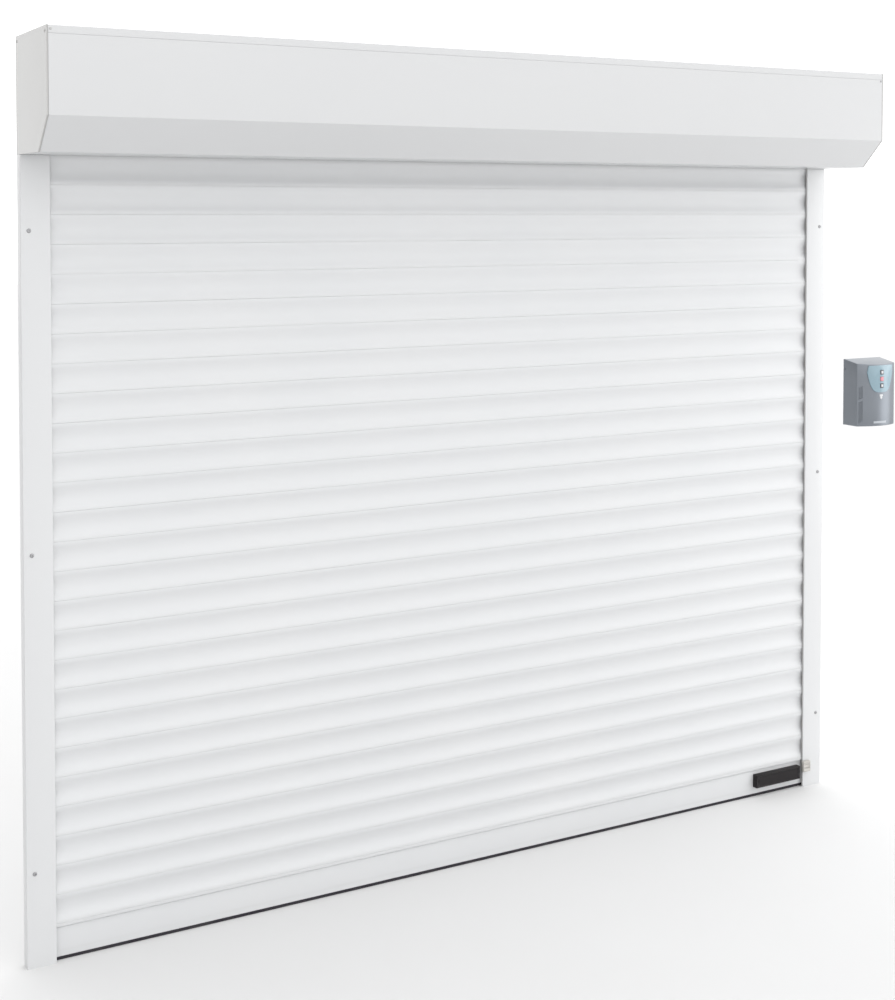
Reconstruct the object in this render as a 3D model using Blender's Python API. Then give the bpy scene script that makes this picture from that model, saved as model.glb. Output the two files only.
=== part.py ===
"""Motorised roller shutter: hood, roller with its tubular motor, curtain, guides and wall control.

Frame: origin on the wall at the height of the roller's axis, half way along the hood. +X runs to
the right seen from the room, -Y points into the room and +Z is up. All sizes are in metres.
"""

import math

import bmesh
import bpy
from mathutils import Matrix, Vector

GAP = 0.0003

# Hood: a square box with its lower front edge cut off at 45 degrees.
WIDTH = 2.700
HOOD_SIZE = 0.300
HOOD_CHAMFER = 0.085
HALF_HOOD = HOOD_SIZE / 2
SHEET = 0.0015
FLANGE_HEIGHT = 0.020
TONGUE_SETBACK = 0.0022
HEM_DEPTH = 0.040
HEM_HEIGHT = 0.004
END_PLATE = 0.004
RIM_INSET = 0.0045
RIM_WALL = 0.0015
RIM_WIDTH = 0.012
PLATE_INNER = WIDTH / 2 - END_PLATE
COVER_END = PLATE_INNER - GAP

# Guides: a chamber at the outer side and a slot, open to the curtain, at the inner side.
GUIDE_WIDTH = 0.076
GUIDE_DEPTH = 0.034
GUIDE_WALL = 0.0018
GUIDE_HEIGHT = 2.100
SLOT_DEPTH = 0.0365
GUIDE_INNER = WIDTH / 2 - GUIDE_WIDTH
SLOT_BOTTOM = GUIDE_INNER + SLOT_DEPTH
WEB_WALL = 0.002
FLOOR = -HALF_HOOD - GUIDE_HEIGHT
GUIDE_SCREW_X = 1.329
GUIDE_SCREW_ABOVE_FLOOR = (0.247, 1.074, 1.906)

# Curtain: hooked slats, 77 mm from joint to joint, above a bottom bar with a rubber seal.
SLAT_PITCH = 0.077
SLAT_COUNT = 26
SLATS_IN_NODE = 2
FIRST_JOINT = 0.102
SLAT_END = 1.303
CREST_DEPTH = 0.0262
VALLEY_DEPTH = 0.0182
CREST_DROP = 0.0030
RIDGE_HALF = 0.0143
BACK_DEPTH = 0.0078
BACK_BOW = 0.0018
SLAT_WALL = 0.001
HOOK_DEPTH = 0.017
HOOK_HEIGHT = 0.0025
BULB_RADIUS = 0.003
SOCKET_RADIUS = 0.0039
NECK_HALF = 0.0012
MOUTH_HALF = 0.0017
SHOULDER = 0.0025
SKIRT = 0.002
SEAL_HEIGHT = 0.009
BAR_FACE = 0.020

# Roller and motor share one axis, which runs along X.
AXIS_Y = -HOOD_SIZE / 2
AXIS_Z = 0.0
TUBE_FLAT = 0.051
TUBE_WALL = 0.0025
TUBE_LEFT = -1.318
TUBE_RIGHT = 1.263
MOTOR_RADIUS = 0.0295
MOTOR_WALL = 0.0015
MOTOR_LEFT = 0.780
MOTOR_RIGHT = 1.2895
STRAP_PLACES = (-0.90, 0.00, 0.90)
STRAP_HALF_WIDTH = 0.040

# Planetary gear: 45 ring teeth and 9 sun teeth turn the carrier at a sixth of the rotor's speed.
MODULE = 0.00105
SUN_TEETH = 9
PLANET_TEETH = 18
RING_TEETH = 45
PLANETS = 3
PRESSURE = math.radians(25)
ADDENDUM = 0.8 * MODULE
DEDENDUM = 1.0 * MODULE
BACKLASH = 0.00025
GEAR_LEFT = 0.8190
GEAR_RIGHT = 0.8370
PLANET_ORBIT = MODULE * (SUN_TEETH + PLANET_TEETH) / 2

# Wall control unit to the right of the shutter.
CONTROL_LEFT = 1.475
CONTROL_RIGHT = 1.640
CONTROL_BOTTOM = -1.029
CONTROL_TOP = -0.801
CONTROL_SIDE = 0.064
CONTROL_BULGE = 0.026
CONTROL_CROWN = 1.5675
CONTROL_SLOPE = 0.19
CONTROL_WALL = 0.0025
CONTROL_BASE = 0.006
FACET = 0.021
BUTTON_X = 1.564
BUTTON_HEIGHTS = (-0.8440, -0.8670, -0.8900)
BUTTON_SIZE = 0.0150
BUTTON_TRAVEL = 0.0015
BUTTON_REST = 0.0006
STEM_HALF = 0.0045
STEM_REACH = 0.0292
PANEL_LEFT = 1.507
PANEL_RIGHT = 1.620
PANEL_TOP = -0.8205
PANEL_BOTTOM = -0.913
PANEL_WALL = 0.003

# Edge transmitter on the bottom bar.
SENDER_LEFT = 1.067
SENDER_RIGHT = 1.257
SENDER_BOTTOM = -2.217
SENDER_TOP = -2.174
SENDER_FRONT = 0.040
SENDER_LID = 0.004
SENDER_WALL = 0.0022


# ---- Materials -------------------------------------------------------------------------------

def principled(name, colour, roughness, metallic=0.0):
    """A plain Principled material from a linear RGB colour."""
    material = bpy.data.materials.new(name)
    material.use_nodes = True
    shader = material.node_tree.nodes["Principled BSDF"]
    shader.inputs["Base Color"].default_value = (*colour, 1.0)
    shader.inputs["Roughness"].default_value = roughness
    shader.inputs["Metallic"].default_value = metallic
    return material


def white_coating(name):
    return principled(name, (0.80, 0.81, 0.82), 0.30)


def white_plastic(name):
    return principled(name, (0.78, 0.78, 0.77), 0.40)


def black_rubber(name):
    return principled(name, (0.012, 0.010, 0.014), 0.80)


def dark_plastic(name):
    return principled(name, (0.030, 0.027, 0.029), 0.50)


def grey_plastic(name):
    return principled(name, (0.26, 0.29, 0.34), 0.45)


def blue_plastic(name):
    return principled(name, (0.42, 0.56, 0.63), 0.35)


def red_plastic(name):
    return principled(name, (0.70, 0.16, 0.19), 0.40)


def brown_plastic(name):
    return principled(name, (0.17, 0.15, 0.12), 0.55)


def bare_steel(name):
    return principled(name, (0.46, 0.46, 0.47), 0.35, 1.0)


def zinc_steel(name):
    return principled(name, (0.55, 0.56, 0.58), 0.42, 1.0)


def copper_winding(name):
    return principled(name, (0.45, 0.16, 0.06), 0.45, 0.8)


def green_board(name):
    return principled(name, (0.02, 0.16, 0.06), 0.50)


# ---- Mesh helpers ----------------------------------------------------------------------------

def place_on_axis(axis, along, first, second):
    """A point at a distance along an axis, with its two other coordinates in X, Y, Z order."""
    if axis == "X":
        return Vector((along, first, second))
    if axis == "Y":
        return Vector((first, along, second))
    return Vector((first, second, along))


def extrusion(outlines, start, end, axis="X"):
    """A closed body of an outline, with any holes after it, that runs from start to end."""
    body = bmesh.new()
    edges = []
    for outline in outlines:
        corners = [body.verts.new(place_on_axis(axis, start, *point)) for point in outline]
        edges += [body.edges.new(pair) for pair in zip(corners, corners[1:] + corners[:1])]
    bmesh.ops.triangle_fill(body, use_beauty=True, edges=edges)
    extruded = bmesh.ops.extrude_face_region(body, geom=body.faces[:])
    moved = [item for item in extruded["geom"] if isinstance(item, bmesh.types.BMVert)]
    bmesh.ops.translate(body, verts=moved, vec=place_on_axis(axis, end - start, 0, 0))
    bmesh.ops.recalc_face_normals(body, faces=body.faces)
    return body


def block(low, high, bevel=0.0):
    """A box between two corners, with its edges bevelled by a width."""
    body = bmesh.new()
    centre = (Vector(low) + Vector(high)) / 2
    size = Vector(high) - Vector(low)
    matrix = Matrix.Translation(centre) @ Matrix.Diagonal((*size, 1.0))
    bmesh.ops.create_cube(body, size=1.0, matrix=matrix)
    if bevel:
        bmesh.ops.bevel(body, geom=body.edges[:], offset=bevel, segments=1, affect="EDGES")
    return body


def lathe(profile, segments=24):
    """A body turned about the X axis from (x, radius) points, closed by the axis or by itself."""
    body = bmesh.new()
    points = [body.verts.new((x, radius, 0.0)) for x, radius in profile]
    edges = [body.edges.new(pair) for pair in zip(points, points[1:])]
    if profile[0][1] > 0 and profile[-1][1] > 0:
        edges.append(body.edges.new((points[-1], points[0])))
    bmesh.ops.spin(body, geom=points + edges, cent=(0, 0, 0), axis=(1, 0, 0),
                   angle=math.tau, steps=segments, use_merge=True)
    bmesh.ops.remove_doubles(body, verts=body.verts, dist=1e-6)
    bmesh.ops.recalc_face_normals(body, faces=body.faces)
    return body


def ring(left, right, inner, outer, segments=24):
    return lathe([(left, inner), (left, outer), (right, outer), (right, inner)], segments)


def rod(left, right, radius, segments=16):
    return lathe([(left, 0.0), (left, radius), (right, radius), (right, 0.0)], segments)


def moved(body, offset=(0, 0, 0), turn=None):
    """The body turned by a matrix about the origin, then moved."""
    if turn is not None:
        bmesh.ops.transform(body, matrix=turn.to_4x4(), verts=body.verts)
    bmesh.ops.translate(body, verts=body.verts, vec=offset)
    return body


def mirrored(body):
    """The body mirrored to the other end of the shutter, with its faces still outward."""
    bmesh.ops.scale(body, vec=(-1, 1, 1), verts=body.verts)
    bmesh.ops.reverse_faces(body, faces=body.faces)
    return body


def sided(body, side):
    """The body as it is at the right end (side 1), or mirrored for the left end (side -1)."""
    return body if side > 0 else mirrored(body)


def add(name, body, material, parent=None, smooth=False):
    """A named object from a body, with its own material, on a parent empty if there is one."""
    mesh = bpy.data.meshes.new(name)
    body.to_mesh(mesh)
    body.free()
    mesh.materials.append(material(name))
    if smooth:
        mesh.shade_smooth()
        mesh.set_sharp_from_angle(angle=math.radians(35))
    item = bpy.data.objects.new(name, mesh)
    bpy.context.scene.collection.objects.link(item)
    item.parent = parent
    return item


def pivot(name, location):
    """An empty that holds what turns or slides about a point."""
    empty = bpy.data.objects.new(name, None)
    empty.location = location
    bpy.context.scene.collection.objects.link(empty)
    return empty


def boolean(item, body, operation="DIFFERENCE"):
    """Cuts a hidden body from an object, or joins it on."""
    mesh = bpy.data.meshes.new(item.name + "_tool")
    body.to_mesh(mesh)
    body.free()
    tool = bpy.data.objects.new(mesh.name, mesh)
    tool.hide_render = True
    tool.display_type = "WIRE"
    tool.parent = item.parent
    bpy.context.scene.collection.objects.link(tool)
    modifier = item.modifiers.new(operation.title(), "BOOLEAN")
    modifier.operation = operation
    modifier.solver = "EXACT"
    modifier.object = tool


def sheet_outline(path, thickness):
    """The outline of bent sheet: a path and its mitred copy at the path's left side."""
    points = [Vector(point) for point in path]
    inner = []
    for index, point in enumerate(points):
        sides = []
        for start, end in ((index - 1, index), (index, index + 1)):
            if start >= 0 and end < len(points):
                along = (points[end] - points[start]).normalized()
                sides.append(Vector((-along.y, along.x)))
        middle = sum(sides, Vector((0, 0))).normalized()
        inner.append(point + middle * (thickness / middle.dot(sides[0])))
    return [tuple(point) for point in points + inner[::-1]]


# ---- Hood ------------------------------------------------------------------------------------

def hood_outline():
    """The hood's side outline as (y, z) points."""
    return [
        (0.0, -HALF_HOOD),
        (0.0, HALF_HOOD),
        (-HOOD_SIZE, HALF_HOOD),
        (-HOOD_SIZE, HOOD_CHAMFER - HALF_HOOD),
        (HOOD_CHAMFER - HOOD_SIZE, -HALF_HOOD),
    ]


def hood_top_cover():
    """Back, top and the narrow flange turned down at the front."""
    path = [
        (0.0, -HALF_HOOD),
        (0.0, HALF_HOOD),
        (-HOOD_SIZE, HALF_HOOD),
        (-HOOD_SIZE, HALF_HOOD - FLANGE_HEIGHT + GAP),
    ]
    add("hood_top_cover", extrusion([sheet_outline(path, SHEET)], -COVER_END, COVER_END), white_coating)


def hood_front_cover():
    """Front, 45 degree panel and underside, with a tongue behind the flange and a hem at the slot."""
    flange_line = HALF_HOOD - FLANGE_HEIGHT
    tongue = -HOOD_SIZE + TONGUE_SETBACK
    path = [
        (tongue, flange_line + 0.6 * FLANGE_HEIGHT),
        (tongue, flange_line),
        (-HOOD_SIZE, flange_line),
        (-HOOD_SIZE, HOOD_CHAMFER - HALF_HOOD),
        (HOOD_CHAMFER - HOOD_SIZE, -HALF_HOOD),
        (-HEM_DEPTH, -HALF_HOOD),
        (-HEM_DEPTH, HEM_HEIGHT - HALF_HOOD),
    ]
    add("hood_front_cover", extrusion([sheet_outline(path, SHEET)], -COVER_END, COVER_END), white_coating)


def end_plate(side_name, side):
    """Side plate whose outline is inset and raised into the rim that carries the covers."""
    plate = extrusion([hood_outline()], PLATE_INNER, WIDTH / 2)
    bmesh.ops.dissolve_limit(plate, angle_limit=0.01, verts=plate.verts, edges=plate.edges)
    inner = min(plate.faces, key=lambda face: face.calc_center_median().x)
    bmesh.ops.inset_region(plate, faces=[inner], thickness=RIM_INSET, use_even_offset=True)
    inner = min(plate.faces, key=lambda face: (face.calc_center_median().x, -face.calc_area()))
    rim = bmesh.ops.inset_region(plate, faces=[inner], thickness=RIM_WALL, use_even_offset=True)
    raised = bmesh.ops.extrude_face_region(plate, geom=rim["faces"])
    corners = [item for item in raised["geom"] if isinstance(item, bmesh.types.BMVert)]
    bmesh.ops.translate(plate, verts=corners, vec=(-RIM_WIDTH, 0, 0))
    bmesh.ops.delete(plate, geom=rim["faces"], context="FACES_ONLY")
    bmesh.ops.recalc_face_normals(plate, faces=plate.faces)
    add("end_plate_" + side_name, sided(plate, side), white_plastic)


# ---- Guides ----------------------------------------------------------------------------------

def screw_heights():
    return [FLOOR + height for height in GUIDE_SCREW_ABOVE_FLOOR]


def along_y(body, x, y, z):
    """Turns a body made along X so that its +X end points at the wall, and moves it."""
    moved(body, turn=Matrix.Rotation(math.pi / 2, 3, "Z"))
    return moved(body, (x, y, z))


def guide(side_name, side):
    """Aluminium channel with a slot for the curtain, a closed chamber and screw holes."""
    outer = WIDTH / 2
    front = -GUIDE_DEPTH
    outline = [
        (GUIDE_INNER, front),
        (outer, front),
        (outer, 0.0),
        (GUIDE_INNER, 0.0),
        (GUIDE_INNER, -GUIDE_WALL),
        (SLOT_BOTTOM, -GUIDE_WALL),
        (SLOT_BOTTOM, front + GUIDE_WALL),
        (GUIDE_INNER, front + GUIDE_WALL),
    ]
    chamber = [
        (SLOT_BOTTOM + WEB_WALL, front + GUIDE_WALL),
        (outer - GUIDE_WALL, front + GUIDE_WALL),
        (outer - GUIDE_WALL, -GUIDE_WALL),
        (SLOT_BOTTOM + WEB_WALL, -GUIDE_WALL),
    ]
    channel = extrusion([outline, chamber], FLOOR, -HALF_HOOD - GAP, "Z")
    item = add("guide_" + side_name, sided(channel, side), white_coating)
    for height in screw_heights():
        drill = rod(-2 * GUIDE_DEPTH, GUIDE_DEPTH, 0.0027, 10)
        boolean(item, along_y(drill, side * GUIDE_SCREW_X, 0, height))


def guide_screws(side_name, side):
    """Pan head screws that run through a guide into the wall, numbered from the floor up."""
    head = 0.0020
    shank = 0.0021
    profile = [
        (-head - GAP, 0.0),
        (-head, 0.0032),
        (-GAP, 0.0045),
        (-GAP, shank),
        (GUIDE_DEPTH - GAP, shank),
        (GUIDE_DEPTH - GAP, 0.0),
    ]
    for number, height in enumerate(screw_heights(), start=1):
        screw = along_y(lathe(profile, 10), side * GUIDE_SCREW_X, -GUIDE_DEPTH, height)
        add(f"guide_screw_{side_name}_{number}", screw, zinc_steel, smooth=True)


def inlet_funnel(side_name, side):
    """Plastic piece above the guide: it leads the curtain in and plugs into the guide's chamber."""
    low = -HALF_HOOD
    height = 0.038
    outer = 1.3325
    throat = (-0.0048, -0.0295)
    flare = 0.0022
    body = bmesh.new()
    rims = []
    for z, opening in ((low, 0.0), (low + height, flare)):
        outline = [
            (GUIDE_INNER + 0.002, -0.0360),
            (outer, -0.0360),
            (outer, -0.0020),
            (GUIDE_INNER + 0.002, -0.0020),
            (GUIDE_INNER + 0.002, throat[0] + opening),
            (SLOT_BOTTOM, throat[0] + opening),
            (SLOT_BOTTOM, throat[1] - opening),
            (GUIDE_INNER + 0.002, throat[1] - opening),
        ]
        rims.append([body.verts.new((x, y, z)) for x, y in outline])
    body.faces.new(rims[0])
    body.faces.new(rims[1])
    for index in range(len(rims[0])):
        after = (index + 1) % len(rims[0])
        body.faces.new((rims[0][index], rims[0][after], rims[1][after], rims[1][index]))
    bmesh.ops.recalc_face_normals(body, faces=body.faces)
    item = add("inlet_funnel_" + side_name, sided(body, side), dark_plastic)
    plug = block((SLOT_BOTTOM + WEB_WALL + GAP, -0.030, low - 0.035), (outer - 0.001, -0.004, low + 0.005))
    boolean(item, sided(plug, side), "UNION")


def sensor_block():
    """Small block screwed to the right guide beside the edge transmitter."""
    low = (1.267, -GUIDE_DEPTH - GAP - 0.012, -2.196)
    high = (1.298, -GUIDE_DEPTH - GAP, -2.160)
    add("guide_sensor_block", block(low, high, 0.002), brown_plastic)


# ---- Curtain ---------------------------------------------------------------------------------

def room_face(height):
    """Depth of a slat's room face at a height above its lower joint.

    A rounded ridge crests just below each joint and a longer hollow curve lies between ridges.
    """
    height += CREST_DROP
    slope = 4 * (CREST_DEPTH - VALLEY_DEPTH) / SLAT_PITCH
    to_crest = min(abs(height), abs(SLAT_PITCH - height))
    if to_crest < RIDGE_HALF:
        return CREST_DEPTH - slope * to_crest ** 2 / (2 * RIDGE_HALF)
    to_valley = SLAT_PITCH / 2 - to_crest
    return VALLEY_DEPTH + slope * to_valley ** 2 / (SLAT_PITCH - 2 * RIDGE_HALF)


def back_face(height):
    """Depth of a slat's wall side face at a height above its lower joint."""
    return BACK_DEPTH + BACK_BOW * (2 * height / SLAT_PITCH - 1) ** 2


def hook_arc(joint, radius, half_opening, steps, clockwise):
    """Points round the hook's centre above a joint, open at the bottom by a half width."""
    opening = math.asin(half_opening / radius)
    start = -math.pi / 2 + opening
    sweep = math.tau - 2 * opening
    points = []
    for step in range(steps + 1):
        angle = start + sweep * step / steps
        depth = HOOK_DEPTH + radius * math.cos(angle)
        points.append((depth, joint + HOOK_HEIGHT + radius * math.sin(angle)))
    return points[::-1] if clockwise else points


def hook_top(joint):
    """Shoulder, neck and bulb at the top of a slat or bar, from the room side to the wall side."""
    shoulder = joint - SHOULDER
    points = [(HOOK_DEPTH + NECK_HALF, shoulder)]
    points += hook_arc(joint, BULB_RADIUS, NECK_HALF, 5, clockwise=False)
    points.append((HOOK_DEPTH - NECK_HALF, shoulder))
    return points


def slats_outline(count):
    """Section of slats hooked into each other, as (depth, height) points from the lower joint."""
    face = (0.0065, 0.06, 0.11, 0.16, 0.24, 0.35, 0.46, 0.57, 0.68, 0.765, 0.82, 0.87, 0.92)
    back = (0.75, 0.5, 0.25)
    seam = 0.0010
    points = [(room_face(-SKIRT), -SKIRT)]
    for number in range(count):
        bottom = number * SLAT_PITCH
        if number:
            points.append((room_face(-SKIRT), bottom - SKIRT))
        points += [(room_face(part * SLAT_PITCH), bottom + part * SLAT_PITCH) for part in face]
        top = bottom + SLAT_PITCH - SHOULDER
        points.append((room_face(SLAT_PITCH - SHOULDER), top))
        if number < count - 1:
            points.append((room_face(SLAT_PITCH - SHOULDER) - seam, top + SHOULDER - SKIRT))
    points += hook_top(count * SLAT_PITCH)
    points.append((back_face(SLAT_PITCH - SHOULDER), count * SLAT_PITCH - SHOULDER))
    for number in reversed(range(count)):
        points += [(back_face(part * SLAT_PITCH), (number + part) * SLAT_PITCH) for part in back]
        if number:
            points.append((back_face(0.0), number * SLAT_PITCH))
    points.append((back_face(-SKIRT), -SKIRT))
    points.append((HOOK_DEPTH - MOUTH_HALF, -SKIRT))
    points += hook_arc(0.0, SOCKET_RADIUS, MOUTH_HALF, 5, clockwise=True)
    points.append((HOOK_DEPTH + MOUTH_HALF, -SKIRT))
    return points


def slat_hollow():
    """The hollow inside a slat's section."""
    front = [0.115, 0.18, 0.34, 0.5, 0.66, 0.80, 0.885]
    back = [0.885, 0.5, 0.115]
    points = [(room_face(part * SLAT_PITCH) - SLAT_WALL, part * SLAT_PITCH) for part in front]
    points += [(back_face(part * SLAT_PITCH) + SLAT_WALL, part * SLAT_PITCH) for part in back]
    return points


def raised(outline, bottom):
    """(depth, height) points as (y, z) points of the frame, above a height."""
    return [(-depth, bottom + height) for depth, height in outline]


def joint_height(number):
    return FLOOR + FIRST_JOINT + SLAT_PITCH * number


def slats():
    """The curtain's slats, two to a node and joined at their hook, numbered from the floor up."""
    for first in range(0, SLAT_COUNT, SLATS_IN_NODE):
        outlines = [raised(slats_outline(SLATS_IN_NODE), joint_height(first))]
        numbers = range(first, first + SLATS_IN_NODE)
        outlines += [raised(slat_hollow(), joint_height(number)) for number in numbers]
        name = "slats_" + "_".join(f"{number + 1:02d}" for number in numbers)
        add(name, extrusion(outlines, -SLAT_END, SLAT_END), white_coating, smooth=True)


def bottom_bar():
    """Bottom bar: the lower half of a ridge, a groove, and a flat face down to the seal."""
    bottom = SEAL_HEIGHT + GAP - FIRST_JOINT
    groove = (-0.0130, -0.0150)
    outline = [
        (BAR_FACE, bottom),
        (BAR_FACE, groove[1] - 0.0005),
        (BAR_FACE - 0.0025, groove[1]),
        (BAR_FACE - 0.0025, groove[0]),
        (room_face(-0.0125), -0.0125),
        (room_face(-0.009), -0.009),
        (room_face(-0.005), -0.005),
        (room_face(-SHOULDER), -SHOULDER),
    ]
    outline += hook_top(0.0)
    outline += [(back_face(0.0), -SHOULDER), (back_face(0.0), bottom)]
    front = BAR_FACE - 2 * SLAT_WALL
    back = back_face(0.0) + 2 * SLAT_WALL
    high = groove[1] - 0.003
    low = bottom + 2 * SLAT_WALL
    hollow = [(front, low), (front, high), (back, high), (back, low)]
    outlines = [raised(outline, joint_height(0)), raised(hollow, joint_height(0))]
    add("bottom_bar", extrusion(outlines, -SLAT_END, SLAT_END), white_coating)


def bottom_seal():
    """Rubber seal under the bottom bar, down to the floor."""
    outline = [
        (0.0110, 0.0),
        (0.0190, 0.0),
        (0.0196, 0.003),
        (0.0192, SEAL_HEIGHT),
        (0.0104, SEAL_HEIGHT),
        (0.0102, 0.003),
    ]
    add("bottom_seal", extrusion([raised(outline, FLOOR)], -SLAT_END, SLAT_END), black_rubber)


def strap_outline():
    """A hanger's side outline: from above the top slat's bulb to the roller's flat, bent twice."""
    start = (-HOOK_DEPTH + 0.0010, joint_height(SLAT_COUNT) + 0.0065)
    flat = AXIS_Y + TUBE_FLAT + GAP
    path = [start, (start[0] - 0.004, start[1] + 0.010), (flat, -0.013), (flat, 0.018)]
    return sheet_outline(path[::-1], 0.0010)


def hanger_straps():
    """Spring steel hangers between the roller and the top slat."""
    for number, place in enumerate(STRAP_PLACES, start=1):
        strap = extrusion([strap_outline()], place - STRAP_HALF_WIDTH, place + STRAP_HALF_WIDTH)
        add(f"hanger_strap_{number}", strap, bare_steel)


# ---- Edge transmitter ------------------------------------------------------------------------

def edge_transmitter():
    """Wireless edge transmitter: a hollow case on the bottom bar and its lid."""
    back = -BAR_FACE - GAP
    case_front = -SENDER_FRONT + SENDER_LID + GAP
    case = add(
        "edge_transmitter_case",
        block((SENDER_LEFT, case_front, SENDER_BOTTOM), (SENDER_RIGHT, back, SENDER_TOP)),
        dark_plastic,
    )
    pocket = block(
        (SENDER_LEFT + SENDER_WALL, case_front - 0.01, SENDER_BOTTOM + SENDER_WALL),
        (SENDER_RIGHT - SENDER_WALL, back - SENDER_WALL, SENDER_TOP - SENDER_WALL),
    )
    boolean(case, pocket)
    lid = block(
        (SENDER_LEFT, -SENDER_FRONT, SENDER_BOTTOM),
        (SENDER_RIGHT, case_front - GAP, SENDER_TOP),
    )
    front_edges = [edge for edge in lid.edges if all(vert.co.y < case_front - 0.002 for vert in edge.verts)]
    bmesh.ops.bevel(lid, geom=front_edges, offset=0.002, segments=2, affect="EDGES")
    add("edge_transmitter_lid", lid, dark_plastic)


# ---- Roller and motor ------------------------------------------------------------------------

def octagon(flat):
    """Corners of an octagon about the origin with flats on its sides."""
    radius = flat / math.cos(math.pi / 8)
    angles = [math.pi / 8 + math.pi / 4 * index for index in range(8)]
    return [(radius * math.cos(angle), radius * math.sin(angle)) for angle in angles]


def roller(axis):
    """The turning pieces on the motor's output side: tube, idler, crown and drive wheel."""
    tube = extrusion([octagon(TUBE_FLAT), octagon(TUBE_FLAT - TUBE_WALL)], TUBE_LEFT, TUBE_RIGHT)
    add("roller_tube", tube, zinc_steel, axis)
    plug = TUBE_FLAT - TUBE_WALL - 0.0010
    idler = [
        (-1.3440, 0.0),
        (-1.3440, 0.0080),
        (-1.3225, 0.0080),
        (-1.3225, 0.0545),
        (TUBE_LEFT - GAP, 0.0545),
        (TUBE_LEFT - GAP, plug),
        (-1.2600, plug),
        (-1.2600, 0.0),
    ]
    add("idler_cap", lathe(idler), dark_plastic, axis, smooth=True)
    crown_inner = MOTOR_RADIUS + 0.0005
    crown = [
        (1.2350, crown_inner),
        (1.2350, plug),
        (TUBE_RIGHT + GAP, plug),
        (TUBE_RIGHT + GAP, 0.0545),
        (1.2720, 0.0545),
        (1.2720, crown_inner),
    ]
    add("limit_crown", lathe(crown), dark_plastic, axis, smooth=True)
    add("drive_wheel", ring(0.7420, 0.7620, 0.0103, plug), dark_plastic, axis, smooth=True)


def planet_carrier(axis):
    """Output shaft and carrier disc with three planet pins."""
    profile = [
        (0.7400, 0.0),
        (0.7400, 0.0100),
        (0.8110, 0.0100),
        (0.8110, 0.0225),
        (0.8160, 0.0225),
        (0.8160, 0.0),
    ]
    carrier = add("planet_carrier", lathe(profile), bare_steel, axis, smooth=True)
    for index in range(PLANETS):
        y, z = planet_place(index)
        boolean(carrier, moved(rod(0.8140, GEAR_RIGHT, 0.0038, 10), (0, y, z)), "UNION")


def planet_place(index):
    """(y, z) of a planet's centre, from the axis."""
    angle = math.tau * index / PLANETS
    return PLANET_ORBIT * math.cos(angle), PLANET_ORBIT * math.sin(angle)


def involute(angle):
    return math.tan(angle) - angle


def tooth_half_angle(teeth, radius, thickness):
    """Half of the angle that an involute tooth fills at a radius."""
    pitch_radius = MODULE * teeth / 2
    base_radius = pitch_radius * math.cos(PRESSURE)
    at_radius = math.acos(min(1.0, base_radius / radius))
    return thickness / (2 * pitch_radius) + involute(PRESSURE) - involute(at_radius)


def gear_outline(teeth, low, high, thickness, phase=0.0):
    """Tooth outline between two radii, with a tooth centred on the phase angle."""
    points = []
    for index in range(teeth):
        centre = phase + math.tau * index / teeth
        for radius, sign in ((low, -1), (high, -1), (high, 1), (low, 1)):
            angle = centre + sign * tooth_half_angle(teeth, radius, thickness)
            points.append((radius * math.cos(angle), radius * math.sin(angle)))
    return points


def tooth_thickness():
    return math.pi * MODULE / 2 - BACKLASH


def circle(radius, segments):
    angles = [math.tau * index / segments for index in range(segments)]
    return [(radius * math.cos(angle), radius * math.sin(angle)) for angle in angles]


def ring_gear(axis):
    """Fixed internal gear: its teeth spaces are the teeth of an outer gear of the same pitch."""
    pitch_radius = MODULE * RING_TEETH / 2
    space = math.pi * MODULE / 2 + BACKLASH
    spaces = gear_outline(
        RING_TEETH, pitch_radius - ADDENDUM, pitch_radius + DEDENDUM, space, math.pi / RING_TEETH
    )
    outer = circle(MOTOR_RADIUS - MOTOR_WALL - GAP, 32)
    add("ring_gear", extrusion([outer, spaces], GEAR_LEFT - 0.0005, GEAR_RIGHT + 0.0005), bare_steel, axis)


def planet_gears():
    """Planets, each on its own axis, with a tooth space facing the sun and another facing the ring."""
    pitch_radius = MODULE * PLANET_TEETH / 2
    for index in range(PLANETS):
        y, z = planet_place(index)
        phase = math.tau * index / PLANETS + math.pi / PLANET_TEETH
        teeth = gear_outline(
            PLANET_TEETH, pitch_radius - DEDENDUM, pitch_radius + ADDENDUM, tooth_thickness(), phase
        )
        own_axis = pivot(f"planet_axis_{index + 1}", (0, AXIS_Y + y, AXIS_Z + z))
        body = extrusion([teeth, circle(0.0042, 12)], GEAR_LEFT, GEAR_RIGHT)
        add(f"planet_gear_{index + 1}", body, bare_steel, own_axis)


def motor_rotor(axis):
    """Rotor, brake disc and sun pinion on one shaft."""
    shaft = 0.0030
    profile = [
        (GEAR_RIGHT, 0.0),
        (GEAR_RIGHT, shaft),
        (0.8700, shaft),
        (0.8700, 0.0155),
        (0.9500, 0.0155),
        (0.9500, shaft),
        (0.9850, shaft),
        (0.9850, 0.0220),
        (0.9900, 0.0220),
        (0.9900, shaft),
        (0.9990, shaft),
        (0.9990, 0.0),
    ]
    rotor = add("motor_rotor", lathe(profile), zinc_steel, axis, smooth=True)
    pitch_radius = MODULE * SUN_TEETH / 2
    teeth = gear_outline(SUN_TEETH, pitch_radius - DEDENDUM, pitch_radius + ADDENDUM, tooth_thickness())
    boolean(rotor, extrusion([teeth], GEAR_LEFT, GEAR_RIGHT + 0.0010), "UNION")


def motor_inside(axis):
    """Still pieces in the motor's tube: stator and brake coil."""
    bore = MOTOR_RADIUS - MOTOR_WALL - GAP
    add("motor_stator", ring(0.8680, 0.9520, 0.0160, bore), copper_winding, axis, smooth=True)
    add("brake_coil", ring(0.9910, 1.0150, 0.0040, bore), copper_winding, axis, smooth=True)


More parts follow.
